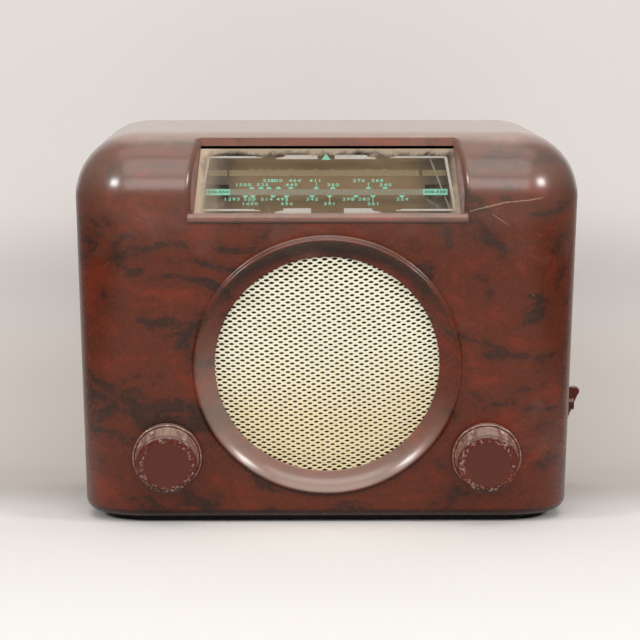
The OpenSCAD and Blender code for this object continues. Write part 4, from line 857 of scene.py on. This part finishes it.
# %% [markdown]
# The slots are cut by insetting every diamond and deleting its middle. The inset leaves an even strand,
# but stretched metal has flat wide slots, so the four inner corners are then set one by one, the lower one
# pushed out and the upper one in, which is the louvre that shades each slot. Towards the rim the slots
# grow wider, because there the sheet was stretched over the edge. Once the sheet is domed it gets its
# thickness, and one level of subdivision rounds the strands. The plain flange that the cabinet clamps
# is turned round its edge.

# %% Slots, dome and flange
SLOT_X = 2.15
SLOT_Y = 0.90
TILT = 0.34
RISE = 5.0
SHEET = 0.55
row = Vector((cos(MESH_TURN), sin(MESH_TURN), 0))
column = Vector((-row.y, row.x, 0))


def dome(x, y):
    """How far out the mesh stands: nearly flat in the middle and steep at the rim."""
    reach = min(hypot(x, y) / (APERTURE - 1), 1.0)
    return -WALL - 0.15 + RISE * (1 - reach ** 3.2)


middles = bm.faces[:]
bmesh.ops.inset_individual(bm, faces=middles, thickness=0.5, use_even_offset=True)
for face in middles:
    centre = face.calc_center_median()
    wider = 1.0 + 0.22 * max(0.0, min((centre.length - 55.0) / 9.0, 1.0))
    for vert in face.verts:
        away = vert.co - centre
        aside = away.dot(row)
        rise = away.dot(column)
        if abs(aside) > abs(rise):
            vert.co = centre + row * copysign(SLOT_X * wider, aside)
        else:
            vert.co = centre + column * copysign(SLOT_Y * wider, rise)
            vert.co.z -= copysign(TILT, rise)
bmesh.ops.delete(bm, geom=middles, context="FACES_ONLY")
for vert in bm.verts:
    vert.co.z += dome(vert.co.x, vert.co.y)
bmesh.ops.recalc_face_normals(bm, faces=bm.faces)
if bm.faces[0].normal.z < 0:
    bmesh.ops.reverse_faces(bm, faces=bm.faces[:])
bmesh.ops.solidify(bm, geom=bm.faces[:], thickness=SHEET)
lattice = solid("speaker_mesh", bm, finishes["grille_enamel"])
rounded = lattice.modifiers.new("rounded strands", "SUBSURF")
rounded.levels = 1
rounded.render_levels = 1
bake(lattice)
bm = bmesh.new()
bm.from_mesh(lattice.data)
clamped_rim = [(68.6, -4.62), (73.0, -4.62), (73.0, -5.38), (68.6, -5.38)]
turn(bm, clamped_rim, 96, Matrix.Identity(4), closed=True)
bmesh.ops.transform(bm, matrix=speaker_board, verts=bm.verts)
bmesh.ops.recalc_face_normals(bm, faces=bm.faces)
bm.to_mesh(lattice.data)
bm.free()
finish_piece(lattice, "case", ["speaker_grille"], 60.0, False)

# %% [markdown]
# A front knob is one turned moulding: a thin flange with a groove inside its rim, a grip with twelve
# wide scallops, and a cap whose shoulder slopes up to a slightly hollow face. The scallops are pressed
# into the spun mesh: each vertex of the grip is drawn in to the circle of a milling cutter where that
# lies nearer the axis, which is quicker and cleaner than twelve Booleans. Fingers have worn the grip
# pale, and painted sheen makes it paler still, so its faces take the finish of wear and painted sheen.

# %% Front knobs
FLANGE = 21.2
GRIP = 18.8
GRIP_LOW = 3.2
GRIP_TOP = 14.7
SCALLOPS = 12
CUTTER = 6.0
BITE = 1.1
bore = [(0, 12.2), (3.2, 12.2), (3.2, 0.9)]
flange = [(20.3, 0.8), (21.0, 1.1), (FLANGE, 1.8), (21.05, 2.6), (20.6, 3.2), (20.0, 3.38)]
groove = [(19.65, 3.1), (19.5, 2.85), (19.2, 2.8), (19.0, 2.95), (18.85, 3.4), (GRIP, 4.0)]
grip = [(GRIP - 0.65 * t / 12, 4.0 + 11.2 * t / 12) for t in range(1, 13)]
shoulder = [(18.05, 15.65), (17.8, 16.1), (17.35, 16.4), (16.2, 16.8), (14.9, 17.2), (14.1, 17.42)]
hollow_face = [(13.7, 17.48), (13.3, 17.42), (12.7, 17.27), (8.0, 17.08), (4.0, 17.02), (0, KNOB_HIGH)]
knob_profile = bore + flange + groove + grip + shoulder + hollow_face


def scalloped(radius, turned, height):
    """The radius that a vertex keeps under the cutter that is nearest to it."""
    pitch = 2 * pi / SCALLOPS
    off = (turned + pitch / 2) % pitch - pitch / 2
    reach = GRIP + CUTTER - BITE
    if abs(reach * sin(off)) >= CUTTER:
        return radius
    cut = reach * cos(off) - sqrt(CUTTER ** 2 - (reach * sin(off)) ** 2)
    fade = max(0.0, min((height - GRIP_LOW) / 0.8, (GRIP_TOP - height) / 1.2, 1.0))
    return radius - max(0.0, GRIP - cut) * fade


def knob(name, board, body):
    bm = bmesh.new()
    turn(bm, knob_profile, 240, Matrix.Identity(4))
    for vert in bm.verts:
        radius = hypot(vert.co.x, vert.co.y)
        if radius > GRIP - 0.9 and GRIP_LOW < vert.co.z < GRIP_TOP:
            kept = scalloped(radius, atan2(vert.co.y, vert.co.x), vert.co.z)
            vert.co.x *= kept / radius
            vert.co.y *= kept / radius
    # The grip's faces take the finish of wear and painted sheen.
    for face in bm.faces:
        middle = face.calc_center_median()
        if hypot(middle.x, middle.y) > GRIP - 1.8 and GRIP_LOW - 0.1 < middle.z < GRIP_TOP + 0.7:
            face.material_index = 1
    bmesh.ops.transform(bm, matrix=board, verts=bm.verts)
    made = solid(name, bm, knob_bakelite, worn_sheened_grip)
    bm = bmesh.new()
    screw_way = board @ at(0, 0, 8.0) @ Matrix.Rotation(pi / 2, 4, "X")
    peg(bm, 1.65, 3.0, 21.0, screw_way, 24)
    combine(made, solid("screw_hole", bm), "DIFFERENCE")
    finish_piece(made, body, [body + "_knob"], 50.0, False)


knob("tuning_knob_moulding", front_board(KNOB_X, KNOB_Z), "tuning")
knob("volume_knob_moulding", front_board(-KNOB_X, KNOB_Z), "volume")

# %% [markdown]
# The waveband knob on the right side is a round hub with an upright fin, taller at its top. The fin is a
# side view with a rounded nose, extruded and bevelled, and joined to the turned hub by a union.

# %% Waveband knob
lever_x = side_x(WAVEBAND_Z)
lever_board = at(lever_x + 1.0, WAVEBAND_Y, WAVEBAND_Z) @ side_view
bm = bmesh.new()
hub = [(0, 7.0), (3.2, 7.0), (3.2, 0.0), (10.4, 0.0), (10.9, 0.2), (11.0, 0.7), (11.0, 3.4), (10.8, 4.1)]
hub += [(10.3, 4.7), (9.5, 5.0), (4.5, 5.1), (4.5, 8.6), (0, 8.6)]
turn(bm, hub, 72, lever_board)
lever = solid("waveband_knob_moulding", bm, knob_bakelite)
bm = bmesh.new()
nose = arc((7.5, 9.0), 3.0, range(140, -31, -10))
fin_outline = [(-10.5, 1.0), (-10.5, 3.6), (-9.9, 4.6)] + nose + [(10.5, 1.0)]
extruded(bm, fin_outline, 7.0, lever_board @ side_view @ at(0, 0, -3.5))
bmesh.ops.recalc_face_normals(bm, faces=bm.faces)
clear_of_hub = [e for e in bm.edges if min(v.co.x for v in e.verts) > lever_x + 3.2]
rims = [e for e in clear_of_hub if e.calc_face_angle(0.0) > radians(60)]
bmesh.ops.bevel(bm, geom=rims, offset=1.1, segments=4, **round_off)
combine(lever, solid("fin", bm), "UNION")
finish_piece(lever, "waveband", ["waveband_knob"], 50.0)

# %% [markdown]
# The scale is printed on the back of the glass, and a fainter band with small arrows lies on the card far
# behind it as a painted reflection of the print, so the two shift against each other as the eye moves.
# Each mark is a thin sheet of ink: an outline drawn on the glass's board and given under a tenth of a
# millimetre. A picture of the print would be quicker, but it would lie in one plane and blur when seen
# from close by.

# %% Printed marks
INK_DEPTH = -3.12
CARD_DEPTH = -16.98
SHORT_TICK = 1.75
STEM = 0.22


def marks(name, outlines, material, depth):
    bm = bmesh.new()
    for outline in outlines:
        extruded(bm, outline, 0.08, glass_board @ at(0, 0, depth))
    finish_piece(solid(name, bm, material), "case", sharp=20.0, weighted=False)


def bar(x0, x1, y0, y1):
    return [(x0, y0), (x1, y0), (x1, y1), (x0, y1)]


def wedge(x, y0, y1, low_half, high_half):
    """A tick about x that is wider at one end."""
    return [(x - low_half, y0), (x + low_half, y0), (x + high_half, y1), (x - high_half, y1)]


def stepped(inner, outer, y0, y1):
    """A thick bar whose outer end steps down to a point along its lower edge."""
    way = 1 if outer > inner else -1
    steps = [(outer, y0), (outer, y0 + 0.55), (outer - 2.6 * way, y0 + 1.0), (outer - 5.2 * way, y0 + 1.6)]
    return [(inner, y0)] + steps + [(outer - 5.2 * way, y1), (inner, y1)]


def tapered(inner, outer, y):
    """A thin line that starts as a point."""
    way = 1 if outer > inner else -1
    point = [(inner + 3.5 * way, y + 0.6), (inner + 3.0 * way, y + 0.1), (inner, y - 0.1)]
    return [(inner, y - 0.6), (inner + 2.5 * way, y - 0.6), (outer, y - 0.6), (outer, y + 0.6)] + point


frame_lines = [
    stepped(4.4, 28.8, 37.6, 40.1), stepped(-5.6, -30.1, 37.6, 40.1),
    stepped(9.7, 31.4, 4.6, 7.4), stepped(-9.6, -31.0, 4.6, 7.4),
    tapered(37.0, 69.6, 38.8), tapered(-38.4, -69.6, 38.8),
    tapered(40.2, 74.8, 6.4), tapered(-39.6, -74.8, 6.4),
    [(69.0, 38.3), (70.5, 39.4), (75.7, 7.0), (74.2, 5.8)],
    [(-69.0, 38.3), (-74.2, 5.8), (-75.7, 7.0), (-70.5, 39.4)],
]
marks("frame_print", frame_lines, pale_ink, INK_DEPTH)
above = (-44.3, -39.0, -34.3, -28.7, -21.4, -6.4, 3.3, 24.2, 33.9)
below = (-48.1, -43.7, -31.9, -24.0, -9.0, 1.3, 16.8, 26.8, 43.9)
arrows = [wedge(x, 19.3, 20.5, SHORT_TICK, 0.7) for x in above]
arrows += [wedge(x, 14.1, 15.3, 0.7, SHORT_TICK) for x in below]
arrows += [bar(x - STEM, x + STEM, 20.5, 23.4) for x in (-6.4, 24.2)]
arrows += [bar(x - STEM, x + STEM, 11.2, 14.1) for x in (-43.7, -24.0, 1.3, 26.8)]
arrows += [[(-3.3, 37.1), (1.9, 37.1), (-0.7, 41.3)]]
arrows += [bar(-71.4, -57.2, 15.5, 19.2), bar(56.2, 70.6, 15.5, 19.2)]
marks("mint_print", arrows, mint_ink, INK_DEPTH)
marks("band_print", [bar(-57.0, 56.0, 15.6, 19.1)], band_ink, INK_DEPTH - 0.1)
# Painted reflection: the print mirrored in the card, drawn there in amber.
painted_reflection_marks = [bar(-58.0, 54.4, 31.5, 35.0), bar(-70.6, -59.0, 31.5, 35.0), bar(56.6, 70.6, 31.5, 35.0)]
painted_reflection_marks += [wedge(x, 35.0, 35.9, 1.6, 0.6) for x in above]
marks("painted_print_reflection", painted_reflection_marks, amber_ink, CARD_DEPTH)

# %% [markdown]
# The numbers are Blender's own plain letters, made into meshes before they are laid on the glass. Each
# is a wavelength in metres under or over its arrow, spaced wide as on such a scale.

# %% Numbers on the scale
LETTER_WIDTH = 1.6
CAPITAL = 0.73


def number(words, x, y, height, depth, spacing):
    """The mesh of one number, laid on the glass's board."""
    letters = bpy.data.curves.new("number", "FONT")
    letters.body = words
    letters.align_x = "CENTER"
    letters.align_y = "CENTER"
    letters.size = height / CAPITAL
    letters.space_character = spacing
    letters.offset = 0.05
    letters.extrude = 0.04
    letters.resolution_u = 3
    thing = bpy.data.objects.new("number", letters)
    made = bpy.data.meshes.new_from_object(thing)
    bpy.data.objects.remove(thing)
    made.transform(glass_board @ at(x, y, depth) @ Matrix.Diagonal((LETTER_WIDTH, 1, 1, 1)))
    return made


def number_print(name, entries, material, height, depth, spacing):
    bm = bmesh.new()
    for words, x, y in entries:
        bm.from_mesh(number(words, x, y, height, depth, spacing))
    finish_piece(solid(name, bm, material), "case", sharp=20.0, weighted=False)


rows = {
    24.3: [("550", -34.3), ("500  464", -24.5), ("411", -7.0), ("276  268", 24.0)],
    21.7: [("1500", -49.5), ("525", -38.0), ("449", -21.0), ("360", 3.3), ("240", 34.2)],
    12.9: [("1293 550", -51.5), ("514 492", -31.0), ("342", -9.0), ("298 285", 17.0), ("224", 44.0)],
    10.1: [("1400", -45.5), ("434", -24.0), ("391", 1.3), ("261", 27.0)],
}
scale_entries = [(words, x, y) for y, row_entries in rows.items() for words, x in row_entries]
number_print("scale_numbers", scale_entries, mint_ink, 1.85, INK_DEPTH + 0.04, 1.25)
range_entries = [("200-550", -64.3, 17.35), ("200-550", 63.4, 17.35)]
number_print("range_numbers", range_entries, dark_ink, 1.6, INK_DEPTH + 0.12, 1.1)

# %% [markdown]
# The room is a pale floor and a sheet of paper that runs under the radio and curves up close behind it,
# so that no line shows. They are stage, not object. Painted shadow of the set darkens the floor just
# behind it and the foot of the curve, and the paper is a little lighter higher up. It darkens with painted
# shade far to the sides and half a metre in front of the set, which keeps stray light off the cabinet's
# edges and its leaning front. From behind the paper is clear, so that the radio's back can be looked at.

# %% Floor and wall
BEND = 0.12
WALL_Y = 0.27
PAPER_HALF = 0.9


def paper():
    finish = Finish("backdrop_paper")
    across = along(finish, "X")
    depth = along(finish, "Y")
    height = along(finish, "Z")
    # Painted shadow: the floor just behind the set and the foot of the wall are darker, as in the set's
    # shadow.
    far = step(height, 0.001, 0.025) + step(depth, -0.02, 0.09)
    aside = step(across, 0.28, 0.50) + step(across, -0.28, -0.50)
    colour = blend(far, shade(252, 250, 248), shade(220, 215, 209))
    # The wall is a little lighter higher up, above the painted shadow.
    colour = blend(step(height, 0.04, 0.10), colour, shade(229, 224, 221))
    colour = blend(step(height, 0.11, 0.17), colour, shade(232, 228, 226))
    # Painted shade: the paper darkens far to the sides and half a metre in front of the set.
    colour = blend(aside + step(depth, -0.50, -0.75), colour, shade(122, 119, 116))
    sockets = {"Base Color": colour, "Roughness": 0.9, "Specular IOR Level": 0.1}
    front = finish.node("BsdfPrincipled", {}, sockets)
    behind = finish.node("NewGeometry", {}, {}, "Backfacing")
    clear = finish.node("BsdfTransparent", {}, {})
    return finish.show(finish.node("MixShader", {}, {0: behind, 1: front, 2: clear}))


bm = bmesh.new()
curve = arc((WALL_Y - BEND, BEND), BEND, range(-90, 1, 5))
bend = [(-0.7, 0.0)] + curve + [(WALL_Y, 3.2)]
verts = [bm.verts.new((-PAPER_HALF, y, z)) for y, z in bend]
edges = [bm.edges.new(pair) for pair in zip(verts, verts[1:])]
far_side = verts_of(bmesh.ops.extrude_edge_only(bm, edges=edges)["geom"])
bmesh.ops.translate(bm, vec=(2 * PAPER_HALF, 0, 0), verts=far_side)
bm.normal_update()
turned_over = [face for face in bm.faces if face.normal.z < -0.01 or face.normal.y > 0.01]
bmesh.ops.reverse_faces(bm, faces=turned_over)
for face in bm.faces:
    face.smooth = True
under = at(0, 0, -0.0004)
bmesh.ops.create_grid(bm, x_segments=1, y_segments=1, size=3.2, matrix=under)
mesh = bpy.data.meshes.new("backdrop")
bm.to_mesh(mesh)
bm.free()
mesh.materials.append(paper())
stand("backdrop", mesh)
print("backdrop faces", len(mesh.polygons))

# %% [markdown]
# Two small boxes stand to the left and right of the camera, a little over the set: each rounded corner
# shows one of them as a white spot, and each draws a shadow of the set over the paper on the other side.
# A wide window over the camera draws the pale band along the top roll, and a panel high in front fills
# in. They light the sill and the lower half of the speaker ring and leave its upper half dark. One is
# too low and the other too high for the raked glass to mirror it into the camera.

# %% Lamps
TARGET = Vector((0, 0, 0.11))


def lamp(name, place, size, power):
    light = bpy.data.lights.new(name, "AREA")
    light.shape = "RECTANGLE"
    light.size, light.size_y = size
    light.energy = power
    light.color = (1.0, 0.985, 0.965)
    thing = stand(name, light)
    thing.location = place
    thing.rotation_euler = (TARGET - Vector(place)).to_track_quat("-Z", "Y").to_euler()


lamp("left_box", (-1.52, -1.36, 1.02), (0.46, 0.36), 14.1)
lamp("right_box", (1.58, -1.28, 1.02), (0.46, 0.36), 14.1)
lamp("window", (0, -2.39, 1.21), (2.6, 0.8), 20.8)
lamp("front_panel", (0, -1.26, 1.9), (2.2, 1.2), 14.4)
lamp("overhead", (0, 0.1, 2.1), (2.2, 1.2), 8.2)
world = bpy.data.worlds.new("room")
world.use_nodes = True
room = world.node_tree.nodes["Background"]
room.inputs["Color"].default_value = shade(226, 222, 217)
room.inputs["Strength"].default_value = 0.10
bpy.context.scene.world = world
print("lamps", len(bpy.data.lights))
